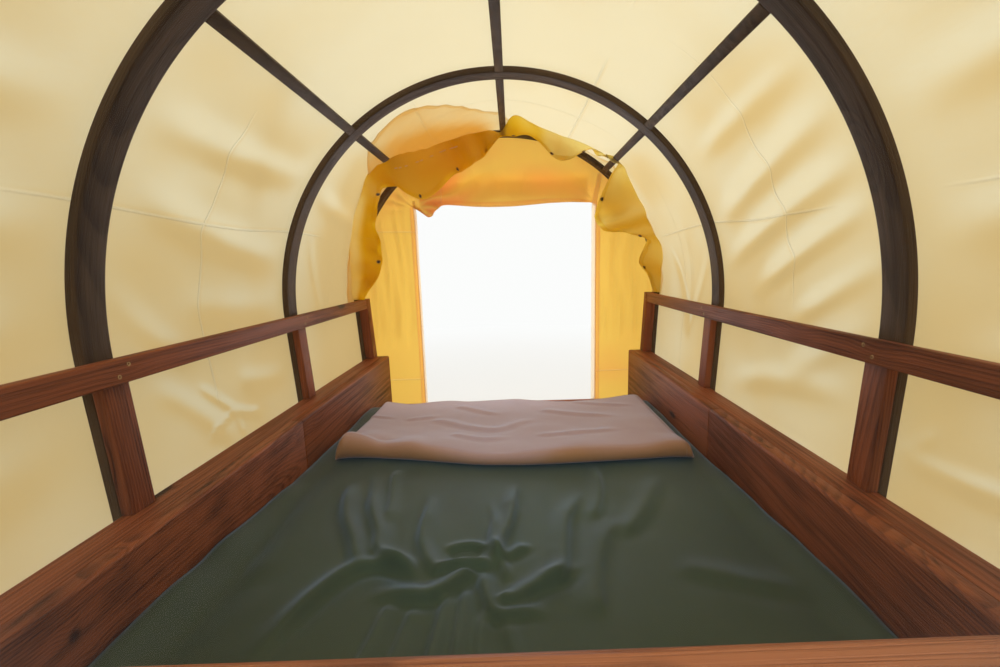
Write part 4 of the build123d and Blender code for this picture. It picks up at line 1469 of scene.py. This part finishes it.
class WAGON_OT_skirt(bpy.types.Operator):
    """Hang the cover's loose skirt before the last bow, pleated from seam to wavy edge, with eyelets"""

    bl_idname = "wagon.skirt"
    bl_label = "Inner skirt"

    def execute(self, context):
        canvas = context.scene.wagon_canvas
        bow_y = BOW_FACES[-1][0]
        line = spline(SKIRT_EDGE, 421)
        edge_x, edge_z, edge_before = seen_at(line[:, 0], line[:, 1], line[:, 2], bow_y - FRONT_Y)
        angle = np.radians(line[:, 3])
        near = sum(bell(angle - purlin, 0.05) for purlin in (-PURLIN_ANGLE, 0.0, PURLIN_ANGLE))
        seam_r = SKIRT_RADIUS - PURLIN_DIP * near
        seam = np.stack([seam_r * np.sin(angle), seam_r * np.cos(angle)], -1)
        v = np.linspace(0, 1, 41)[None, :]
        rows, columns = len(seam), v.shape[1]
        u = np.broadcast_to(run_along(seam)[:, None], (rows, columns))
        x = seam[:, :1] * (1 - v) + edge_x[:, None] * v
        z = seam[:, 1:] * (1 - v) + edge_z[:, None] * v
        fall = np.hypot(edge_x - seam[:, 0], edge_z - seam[:, 1])[:, None]
        before = line[:, 4:5] * (1 - v) + edge_before[:, None] * v
        belly = np.sin(np.pi * v**0.8) * (0.10 + 0.08 * smooth_noise(u, v * 0.3, 41, 0.22)) * fall
        phase = smooth_noise(u, v * 0, 42, 0.25) * 3 + v * 0.8 * smooth_noise(u, v, 43, 0.4)
        pleat = np.sin(u * 34 + phase * 2)
        pleats = signed_power(pleat, 0.75) * (0.05 + 0.12 * v) * fall
        curl = 0.012 * smooth_step(v, 0.85, 1.0) * np.sin(u * 55 + phase)
        before = np.maximum(before + belly + pleats + curl, 0.005)
        far = np.maximum(np.hypot(x, np.maximum(z, 0)) / SKIRT_RADIUS, 1)
        points = np.stack([x / far, bow_y - before, ARCH_Z + z / far], -1)
        steps = np.linalg.norm(np.diff(points, axis=1), axis=2)
        lengths = np.concatenate([np.zeros((rows, 1)), np.cumsum(steps, axis=1)], 1)
        hem = lengths[:, -1:] - lengths
        # Painted shade, deeper in the pleats' hollows and lighter on their crests
        shade = self.painted_skirt_shade(np.degrees(angle)[:, None], v) - 0.10 * pleat
        piece = sheet_piece(
            "canvas_skirt", points, np.stack([u, lengths], -1), materials["skirt"], canvas.thickness,
            hem=hem, creases=0.3, seed=5, shade=shade,
        )
        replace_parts(piece, "inner_flap")
        # Eyelets lie nearer to the edge where the skirt is short
        picked = (np.array(SKIRT_EYELETS) * (rows - 1)).astype(int)
        inset = np.minimum(EYELET_INSET, 0.3 * lengths[picked, -1])[:, None]
        column = np.clip(np.argmin(np.abs(hem[picked] - inset), axis=1), 1, columns - 2)
        along, down = self.slopes(points, picked, column, 1)
        eyelets(
            "skirt_eyelets", points[picked, column], np.cross(along, down), EYELET_RADIUS, EYELET_WIRE
        )
        self.stitches(points, np.degrees(angle))
        return {"FINISHED"}

    @staticmethod
    def painted_skirt_shade(angle, v):
        """Painted shade and light by place: deep yellow shade left of the ridge, lit cream right of it, and
        deep yellow shade low in the left fall.
        """
        by_angle = np.interp(angle, SKIRT_SHADE_BY_ANGLE[:, 0], SKIRT_SHADE_BY_ANGLE[:, 1])
        return by_angle + 0.80 * smooth_step(v, 0.15, 0.65) * smooth_step(-angle, 50, 58)

    @staticmethod
    def slopes(points, row, column, reach):
        """Steps along and down the cloth at some of its points."""
        last = len(points) - 1
        along = points[np.clip(row + reach, 0, last), column] - points[row - reach, column]
        return along, points[row, column + 1] - points[row, column - 1]

    def stitches(self, points, angle):
        """Long pale stitches of the seam, whose paleness is partly painted light through the needle holes:
        flat bars with rounded ends, in a row below the skirt's top.
        """
        row = np.argmin(np.abs(angle[None] - np.array(STITCH_ANGLES)[:, None]), axis=1)
        column = np.full(len(row), 11)
        along, down = self.slopes(points, row, column, 2)
        out = np.cross(along, down)
        out = out * np.sign(-out[:, 1:2])
        out = out / np.linalg.norm(out, axis=1, keepdims=True)
        corner = rounded_section(0.020, 0.0050, 0.0024, 3)
        levels = ((1.0, -0.0006), (1.0, 0.0022), (0.05, 0.0028))
        rings = [np.column_stack([corner * share, np.full(len(corner), level)]) for share, level in levels]
        repeated(
            "skirt_stitches", np.concatenate(rings), grid_faces(len(levels), len(corner), False, True),
            points[row, column] + out * 0.0006, (along, np.cross(out, along), out), materials["zip"],
            "yellow_canvas",
        )


def eyelets(name, places, normals, radius, wire):
    """Rings pressed into cloth, each with a thin dark disc across its hole as painted shade."""
    axes = frame_of(normals)
    ring = wire_ring(radius, radius, wire, 0.7 * wire, 18)
    repeated(name, *ring, places, axes, materials["brass"], "black_iron")
    top, quads = turned([(radius, -0.0009), (radius, 0.0009), (0.0001, 0.0009)], 18)
    under, under_quads = turned([(radius, -0.0009), (0.0001, -0.0009)], 18)
    both = np.concatenate([quads[:, ::-1], under_quads + len(top)])
    disc = np.concatenate([top, under])
    repeated(name + "_painted_hole_shade", disc, both, places, axes, materials["iron"], "black_iron")


# Bedding

# Folds of the sheet, each a width, a share of the tallest fold, and points across the bed and along it from
# the first bow. The first ones meet in a knot
SHEET_FOLDS = (
    (0.024, 1.00, (-0.150, 0.768), (-0.237, 0.812), (-0.300, 0.802), (-0.345, 0.740), (-0.377, 0.654),
     (-0.392, 0.560)),
    (0.024, 1.00, (-0.061, 0.801), (-0.089, 0.768), (-0.120, 0.734), (-0.155, 0.716), (-0.215, 0.725),
     (-0.270, 0.715)),
    (0.020, 0.85, (-0.057, 0.795), (-0.043, 0.733), (-0.028, 0.684), (-0.005, 0.664), (0.040, 0.672),
     (0.090, 0.660)),
    (0.024, 0.90, (-0.020, 0.712), (0.010, 0.702), (0.045, 0.727), (0.095, 0.757), (0.170, 0.800)),
    (0.016, 0.95, (-0.150, 0.776), (-0.118, 0.800), (-0.080, 0.808), (-0.045, 0.803), (-0.020, 0.785)),
    (0.014, 0.55, (-0.130, 0.850), (-0.105, 0.870), (-0.070, 0.872), (-0.040, 0.850), (-0.028, 0.815)),
    (0.018, -0.70, (-0.125, 0.838), (-0.087, 0.848), (-0.055, 0.832)),
    (0.022, 0.85, (-0.139, 0.768), (-0.176, 0.846), (-0.193, 0.905), (-0.197, 1.000), (-0.200, 1.120)),
    (0.024, 1.00, (-0.175, 0.786), (-0.232, 0.818), (-0.276, 0.860), (-0.296, 0.925), (-0.340, 1.030),
     (-0.366, 1.130), (-0.400, 1.270)),
    (0.026, 0.95, (-0.300, 0.800), (-0.336, 0.883), (-0.392, 0.995), (-0.425, 1.100), (-0.440, 1.200)),
    (0.018, 0.50, (-0.285, 0.960), (-0.304, 1.079), (-0.328, 1.203), (-0.335, 1.270)),
    (0.022, 0.95, (-0.030, 0.790), (-0.013, 0.871), (0.007, 0.971), (0.014, 1.060), (0.020, 1.170)),
    (0.014, 0.55, (0.002, 0.746), (-0.010, 0.802), (-0.036, 0.886), (-0.034, 0.973), (-0.050, 1.080)),
    (0.020, 0.60, (-0.016, 0.822), (0.015, 0.841), (0.055, 0.872)),
    (0.028, 0.80, (0.080, 0.720), (0.112, 0.787), (0.133, 0.930), (0.158, 1.010), (0.200, 1.120)),
    (0.034, 0.50, (0.160, 0.640), (0.172, 0.752), (0.210, 0.873), (0.270, 0.980)),
    (0.016, 0.40, (-0.210, 0.715), (-0.222, 0.610), (-0.240, 0.430)),
    (0.016, 0.40, (-0.165, 0.700), (-0.175, 0.588), (-0.190, 0.400)),
    (0.015, 0.45, (-0.108, 0.745), (-0.118, 0.595), (-0.128, 0.400)),
    (0.015, 0.45, (-0.078, 0.755), (-0.080, 0.594), (-0.074, 0.380)),
    (0.014, 0.40, (-0.040, 0.690), (-0.043, 0.587), (-0.028, 0.400)),
    (0.016, 0.40, (-0.006, 0.665), (0.014, 0.584), (0.055, 0.400)),
    (0.050, 0.35, (-0.500, 0.750), (-0.515, 1.000), (-0.530, 1.250)),
    (0.034, 0.40, (-0.300, 0.450), (-0.380, 0.330), (-0.460, 0.200)),
    (0.030, 0.60, (0.250, 0.880), (0.350, 1.020), (0.430, 1.190)),
    (0.034, 0.50, (0.330, 0.780), (0.450, 0.730), (0.570, 0.690)),
    (0.022, 0.50, (0.200, 0.950), (0.245, 1.100), (0.260, 1.280)),
    (0.030, 0.45, (0.200, 0.500), (0.280, 0.360), (0.360, 0.230)),
)


# How far the foam core lies inside the mattress's box at its low and at its high corner, and how round it is
CORE_LOW, CORE_HIGH, CORE_ROUND = (0.012, 0.012, 0.001), (0.012, 0.012, 0.016), 0.028

# The sheet's drop over the mattress's edges, and how round it turns over the sides and over the ends
SHEET_DROP, SIDE_ROUND, END_ROUND = 0.125, 0.014, 0.030


class WAGON_OT_bed(bpy.types.Operator):
    """Lay the mattress and draw the sheet over it in soft folds"""

    bl_idname = "wagon.bed"
    bl_label = "Mattress and sheet"

    def execute(self, context):
        bed = context.scene.wagon_bed
        low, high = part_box("mattress")
        self.mattress(np.array(low) + CORE_LOW, np.array(high) - CORE_HIGH)
        top_z = high.z - 0.008
        half, half_y = (high.x - low.x) / 2 + 0.009, (high.y - low.y) / 2 - 0.004
        middle = (low.y + high.y) / 2
        knot = (FRONT_Y + 0.60 - middle, FRONT_Y + 1.26 - middle)
        u, w = grid(
            spaced(-half - SHEET_DROP, half + SHEET_DROP, 190, (-0.45, 0.25)),
            spaced(-half_y - SHEET_DROP, half_y + SHEET_DROP, 250, knot),
        )
        across, down_x = self.over_edge(u, half, SIDE_ROUND)
        along, down_y = self.over_edge(w, half_y, END_ROUND)
        down = np.maximum(down_x, down_y)
        place = w + middle - FRONT_Y
        folds = fold_curves(u, place, SHEET_FOLDS, (0.0, 1.9)) * bed.fold
        folds = folds + smooth_noise(u * 1.6, w, 51, 0.10) * 0.0014 + smooth_noise(u, w, 53, 0.30) * 0.0035
        # Fine wrinkles run down the bed round the knot
        wrinkle = 1 - np.abs(smooth_noise(u + 0.25 * place, place * 0.30, 57, 0.052)) ** 0.7
        folds = folds + 0.0022 * wrinkle * bell(u + 0.06, 0.42) * bell(place - 0.72, 0.50)
        # Its sides swell where they are tucked in against the boards
        edge = smooth_step(down, 0.0, 0.05)
        swell = bell(place - 0.70, 0.42) * np.where(u < 0, 0.040, 0.022) + 0.006
        tucked = smooth_step(np.abs(u), half - 0.075, half - 0.004) * swell
        tucked = tucked * smooth_step(half_y - np.abs(w), 0.0, 0.15)
        crumple = 0.06 * np.sin(w * 27 + smooth_noise(w, u, 55, 0.2) * 4)
        crumple = crumple + 0.10 * smooth_noise(w, u, 56, 0.13)
        z = top_z - down + np.maximum(folds, -0.006) * (1 - edge) + tucked * (crumple + 1.0)
        pull = 0.002 * edge * np.sin(u * 40 + w * 46) - 0.002 * edge
        x = across + np.sign(u) * pull * (down_x > down_y)
        y = middle + along + np.sign(w) * pull * (down_y > down_x)
        points = np.stack([x, y, z], -1)
        piece = sheet_piece(
            "bed_sheet", points, np.stack([u, w], -1), materials["sheet"], 0.0008, seed=6
        )
        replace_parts(piece, "mattress")
        return {"FINISHED"}

    @staticmethod
    def over_edge(distance, half, radius):
        """Place across, and drop, of cloth that runs flat to an edge, round a quarter circle and down."""
        side, d = np.sign(distance), np.abs(distance)
        arc = np.clip((d - half + radius) / radius, 0, np.pi / 2)
        below = np.maximum(d - half + radius - radius * np.pi / 2, 0)
        across = np.minimum(d, half - radius) + radius * np.sin(arc)
        return side * across, radius * (1 - np.cos(arc)) + below

    @staticmethod
    def mattress(low, high):
        """Foam core: a rounded section carried across the bed, drawn in a little at its ends."""
        size, middle = (high - low) / 2, (high + low) / 2
        section = rounded_section(2 * size[1], 2 * size[2], CORE_ROUND, 6)
        rows, columns = 41, len(section)
        across = np.linspace(-size[0], size[0], rows)[:, None]
        inset = 1 - 0.035 * np.abs(across / size[0]) ** 24
        points = np.stack(
            [
                np.broadcast_to(across, (rows, columns)) + middle[0],
                middle[1] + section[None, :, 0] * inset,
                middle[2] + section[None, :, 1] * inset,
            ],
            -1,
        )
        mesh = mesh_of("mattress_core", points, grid_faces(rows, columns, False, True), "cloth", points)
        close_ends(mesh, rows, columns)
        mesh.materials.append(materials["ticking"])
        piece = new_piece("mattress_core", mesh)
        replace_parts(piece, "mattress")


# Folded blanket, from side to side: place across the bed, its foot and its back edge from the first bow, and
# how thick its front fold is
BLANKET_OUTLINE = (
    (-0.575, 1.322, 1.895, 0.068), (-0.540, 1.326, 1.890, 0.074), (-0.500, 1.331, 1.872, 0.073),
    (-0.450, 1.334, 1.845, 0.060), (-0.400, 1.331, 1.828, 0.047), (-0.310, 1.310, 1.852, 0.056),
    (-0.250, 1.299, 1.865, 0.047), (-0.180, 1.285, 1.846, 0.040), (-0.100, 1.268, 1.858, 0.034),
    (0.000, 1.257, 1.871, 0.035), (0.100, 1.252, 1.842, 0.042), (0.250, 1.258, 1.815, 0.046),
    (0.400, 1.270, 1.848, 0.040), (0.500, 1.272, 1.880, 0.052), (0.575, 1.266, 1.885, 0.050),
)

# Low waves of its top, each a width, a height, and points across the bed and along it from the first bow
BLANKET_WAVES = (
    (0.026, 0.008, (-0.300, 1.610), (-0.227, 1.581), (-0.154, 1.530), (-0.045, 1.490), (0.047, 1.560),
     (0.120, 1.600)),
    (0.024, 0.006, (-0.220, 1.780), (-0.150, 1.730), (-0.080, 1.674), (-0.015, 1.650)),
    (0.024, 0.006, (-0.200, 1.450), (-0.130, 1.410), (-0.060, 1.395), (0.020, 1.420)),
    (0.016, 0.005, (-0.550, 1.700), (-0.490, 1.665), (-0.420, 1.640)),
    (0.016, 0.005, (-0.390, 1.620), (-0.330, 1.630), (-0.260, 1.655)),
    (0.030, -0.008, (-0.540, 1.490), (-0.451, 1.392), (-0.328, 1.384)),
    (0.024, 0.006, (0.110, 1.700), (0.250, 1.640), (0.430, 1.600)),
    (0.022, 0.006, (0.080, 1.420), (0.240, 1.430), (0.400, 1.460)),
    (0.020, 0.005, (0.250, 1.800), (0.380, 1.760), (0.520, 1.730)),
)

# Shares of the blanket's length at which its under layer, its front fold and its top end. Then how high its
# under layer and its back edge lie on the sheet, and how far its side edges are rounded off
UNDER, TURN, TOP = 0.36, 0.50, 0.96
UNDER_LIFT, BACK_LIFT, SIDE_ROUNDING = 0.004, 0.010, 0.026


def joined(*runs):
    """Runs of numbers end to end, each after the first without its first number."""
    return np.concatenate([runs[0], *(run[1:] for run in runs[1:])])


class WAGON_OT_blanket(bpy.types.Operator):
    """Lay the folded blanket on the door end of the bed, with its soft thick fold towards the window"""

    bl_idname = "wagon.blanket"
    bl_label = "Blanket"

    def execute(self, context):
        low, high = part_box("blanket")
        bed_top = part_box("mattress")[1].z - 0.004
        half = (high.x - low.x) / 2 + 0.010
        # Along the cloth: under layer to UNDER, front fold to TURN, back over the top to TOP, and down
        t, x = grid(
            joined(np.linspace(0, 0.30, 30), np.linspace(0.30, TURN, 61), np.linspace(TURN, 1, 121)),
            joined(np.linspace(-half + 0.022, -half + 0.062, 13), np.linspace(-half + 0.062, half, 126)),
        )
        outline = spline(BLANKET_OUTLINE, 240)
        foot, back, lip = (np.interp(x, outline[:, 0], outline[:, k]) for k in (1, 2, 3))
        foot, back = foot + FRONT_Y, back + FRONT_Y
        lower, turn = t < UNDER, (t >= UNDER) & (t < TURN)
        bottom = np.clip(t / UNDER, 0, 1)
        bend = np.clip((t - UNDER) / (TURN - UNDER), 0, 1) * np.pi
        top = np.clip((t - TURN) / (TOP - TURN), 0, 1)
        fall = np.clip((t - TOP) / (1 - TOP), 0, 1)
        nose = 0.6 * lip
        reach = back - foot - nose
        behind = top * reach
        y = np.where(lower, back - 0.02 - bottom * (reach - 0.02), back - (1 - top) * reach)
        y = np.where(turn, foot + nose - nose * np.sin(bend) ** 0.7, y)
        flat_top = 0.024 + 0.014 * np.exp(-behind / 0.30)
        z = flat_top + (lip - flat_top) * np.exp(-((behind / 0.075) ** 1.5))
        z = z + fold_curves(x, y - FRONT_Y, BLANKET_WAVES, (0.0, 3.0)) * smooth_step(behind, 0.0, 0.05)
        z = z + smooth_noise(x, y, 65, 0.15) * 0.004 + smooth_noise(x, y, 66, 0.06) * 0.0012
        z = np.where(lower, UNDER_LIFT, z)
        z = np.where(turn, UNDER_LIFT + (lip - UNDER_LIFT) * (1 - np.cos(bend)) / 2, z)
        z = np.where(t > TOP, z * (1 - fall) + BACK_LIFT * fall, z)
        # Both side edges are rounded off, the left one nearer in than the right
        from_side = np.abs(x - 0.011) - (half - 0.011 - SIDE_ROUNDING)
        edge = np.clip(from_side / SIDE_ROUNDING, 0, 1)
        round_off = np.sqrt(np.clip(1 - edge**2.2, 0, 1))
        z = np.where(z > 0.006, 0.008 + (z - 0.008) * (0.10 + 0.90 * round_off), z)
        points = np.stack([x, np.clip(y, low.y - 0.024, high.y + 0.006), bed_top + z], -1)
        # Painted light and shade: the lavender top is painted sky light, and the brown of the front fold, the
        # under layer and the side edges is painted shade
        painted_top_light = 0.34 * np.exp(-behind / 0.10) - 0.30
        painted_fold_shade = 0.04 + 0.56 * np.cos(bend / 2) ** 0.8
        shade = np.where(turn, painted_fold_shade, np.where(lower, 0.60, painted_top_light)) + 0.5 * edge
        run = mean_run(points)[:, None]
        hem = np.minimum(half - np.abs(x), np.minimum(run[-1] - run, run))
        piece = sheet_piece(
            "folded_blanket", points, np.stack([x, np.broadcast_to(run, x.shape)], -1), materials["blanket"],
            0.006, flip=True, hem=hem, seed=7, shade=shade,
        )
        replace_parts(piece, "blanket")
        return {"FINISHED"}


# Stage


# Camera fitted to the photograph, in pixels: size of the picture, focal length, and where its axis meets it.
# Then its angles in radians
PICTURE, FOCAL, AXIS = (1000, 667), 464.61, (521.42, 345.92)
YAW, PITCH, ROLL = 0.01611, 0.17440, -0.02309


class WAGON_OT_stage(bpy.types.Operator):
    """Set the pale floor, the light and the camera at the photograph's viewing angle"""

    bl_idname = "wagon.stage"
    bl_label = "Stage"

    def execute(self, context):
        scene = context.scene
        self.floor()
        self.world(scene)
        self.lamps()
        self.camera(scene)
        scene.view_settings.view_transform = "Standard"
        return {"FINISHED"}

    @staticmethod
    def floor():
        """Flat disc that is pale near the wagon and fades to white."""
        material, tree, output = empty_material("Pale floor")
        # Its white glows only where the camera sees it, so it isn't sampled as a lamp
        material.cycles.emission_sampling = "NONE"
        where = tree.nodes.new("ShaderNodeTexCoord").outputs["Object"]
        far = shader(tree, "ShaderNodeVectorMath", operation="LENGTH")
        tree.links.new(where, far.inputs[0])
        seen = tree.nodes.new("ShaderNodeLightPath").outputs["Is Camera Ray"]
        share = math_node(tree, "MULTIPLY", ramp(tree, far.outputs["Value"], 2.4, 6.0), seen)
        surface = shader(tree, "ShaderNodeBsdfPrincipled", 300, 0, Roughness=0.8)
        surface.inputs["Base Color"].default_value = (0.80, 0.79, 0.77, 1)
        white = shader(tree, "ShaderNodeEmission", 300, -200, Strength=1.0)
        white.inputs["Color"].default_value = (1, 1, 1, 1)
        mix_shader(tree, share, surface, white, output)
        rings, corners = np.array([0.01, 2, 4, 8, 20, 60]), 64
        r, a = grid(rings, full_turn(corners))
        points = np.stack([r * np.cos(a), r * np.sin(a), np.zeros_like(r)], -1)
        mesh = mesh_of("floor", points, grid_faces(len(rings), corners, False, True))
        mesh.materials.append(material)
        link(bpy.data.objects.new("floor", mesh))

    @staticmethod
    def world(scene):
        """Even light, with a white background where it is seen, mirrored or looked through."""
        scene.world = bpy.data.worlds.new("Studio")
        scene.world.use_nodes = True
        tree = scene.world.node_tree
        tree.nodes.clear()
        path = tree.nodes.new("ShaderNodeLightPath").outputs
        shown = math_node(tree, "MAXIMUM", path["Is Camera Ray"], path["Is Glossy Ray"])
        shown = math_node(tree, "MAXIMUM", shown, path["Is Transmission Ray"])
        sky = shader(tree, "ShaderNodeBackground", 300, 0, Strength=0.65)
        sky.inputs["Color"].default_value = (0.97, 0.98, 1.0, 1)
        white = shader(tree, "ShaderNodeBackground", 300, -200, Strength=1.0)
        white.inputs["Color"].default_value = (1, 1, 1, 1)
        mix_shader(tree, shown, sky, white, tree.nodes.new("ShaderNodeOutputWorld"))

    @staticmethod
    def lamp(name, kind, energy, colour, towards, place=(0, 0, 0), **settings):
        """Lamp that shines along a direction from a place; the camera doesn't see it unless it is a sun."""
        light = bpy.data.lights.new(name, kind)
        light.energy = energy
        light.color = colour
        for key, value in settings.items():
            setattr(light, key, value)
        lamp = link(bpy.data.objects.new(name, light))
        lamp.location = place
        lamp.rotation_euler = Vector(towards).to_track_quat("-Z", "Y").to_euler()
        lamp.visible_camera = kind == "SUN"
        return lamp

    def lamps(self):
        """Broad sun from behind the door end, high on the right, and the sky's blue light at both ends."""
        self.lamp("sun", "SUN", 1.87, (1.0, 0.97, 0.92), (-0.20, -0.60, -0.95), angle=np.radians(18))
        self.lamp(
            "doorway", "AREA", 3.0, (0.55, 0.74, 1.0), (0.0, -1.0, -0.25),
            (0.0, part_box("rear_wall")[1].y + 0.30, ARCH_Z - 0.05), shape="RECTANGLE", size=0.8, size_y=0.9,
        )
        window = self.lamp(
            "window", "AREA", 2.8, (0.42, 0.66, 1.0), (0.0, 1.0, -0.75), (0.0, FRONT_Y - 0.35, ARCH_Z + 0.38),
            shape="RECTANGLE", size=0.9, size_y=0.3, spread=np.radians(60),
        )
        window.visible_glossy = False

    @staticmethod
    def camera(scene):
        """Camera just outside the clear pane, looking down the length of the wagon."""
        width, height = PICTURE
        forward = np.array([np.sin(YAW) * np.cos(PITCH), np.cos(YAW) * np.cos(PITCH), -np.sin(PITCH)])
        right = np.array([np.cos(YAW), -np.sin(YAW), 0.0])
        up = np.cross(right, forward)
        rolled_right = np.cos(ROLL) * right + np.sin(ROLL) * up
        rolled_up = -np.sin(ROLL) * right + np.cos(ROLL) * up
        turn = Matrix((tuple(rolled_right), tuple(rolled_up), tuple(-forward))).transposed().to_4x4()
        lens = bpy.data.cameras.new("camera")
        lens.sensor_width = 36.0
        lens.lens = FOCAL / width * 36.0
        lens.shift_x = (width / 2 - AXIS[0]) / width
        lens.shift_y = (AXIS[1] - height / 2) / width
        lens.clip_start = 0.005
        lens.clip_end = 200
        camera = link(bpy.data.objects.new("camera", lens))
        camera.matrix_world = Matrix.Translation((EYE[0], FRONT_Y + EYE[1], ARCH_Z + EYE[2])) @ turn
        scene.camera = camera


class WAGON_PT_panel(bpy.types.Panel):
    """Sidebar list of the wagon's pieces"""

    bl_idname = "WAGON_PT_panel"
    bl_label = "Covered wagon body"
    bl_space_type = "VIEW_3D"
    bl_region_type = "UI"
    bl_category = "Wagon"

    def draw(self, context):
        for name, kind in GROUPS:
            for key in kind.__annotations__:
                self.layout.prop(getattr(context.scene, name), key)
        for operator in OPERATORS:
            self.layout.operator(operator.bl_idname)


OPERATORS = (
    WAGON_OT_finishes, WAGON_OT_timbers, WAGON_OT_bows, WAGON_OT_ironwork, WAGON_OT_cover,
    WAGON_OT_fastenings, WAGON_OT_lining, WAGON_OT_end_wall, WAGON_OT_curtain, WAGON_OT_skirt, WAGON_OT_bed,
    WAGON_OT_blanket, WAGON_OT_stage,
)
GROUPS = (("wagon_timber", WagonTimber), ("wagon_canvas", WagonCanvas), ("wagon_bed", WagonBed))


def register():
    for name, group in GROUPS:
        bpy.utils.register_class(group)
        setattr(bpy.types.Scene, name, bpy.props.PointerProperty(type=group))
    for operator in OPERATORS:
        bpy.utils.register_class(operator)
    bpy.utils.register_class(WAGON_PT_panel)


def unregister():
    bpy.utils.unregister_class(WAGON_PT_panel)
    for operator in reversed(OPERATORS):
        bpy.utils.unregister_class(operator)
    for name, group in reversed(GROUPS):
        delattr(bpy.types.Scene, name)
        bpy.utils.unregister_class(group)


def main():
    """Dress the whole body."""
    register()
    for operator in OPERATORS:
        family, name = operator.bl_idname.split(".")
        getattr(getattr(bpy.ops, family), name)()


if __name__ == "__main__":
    main()
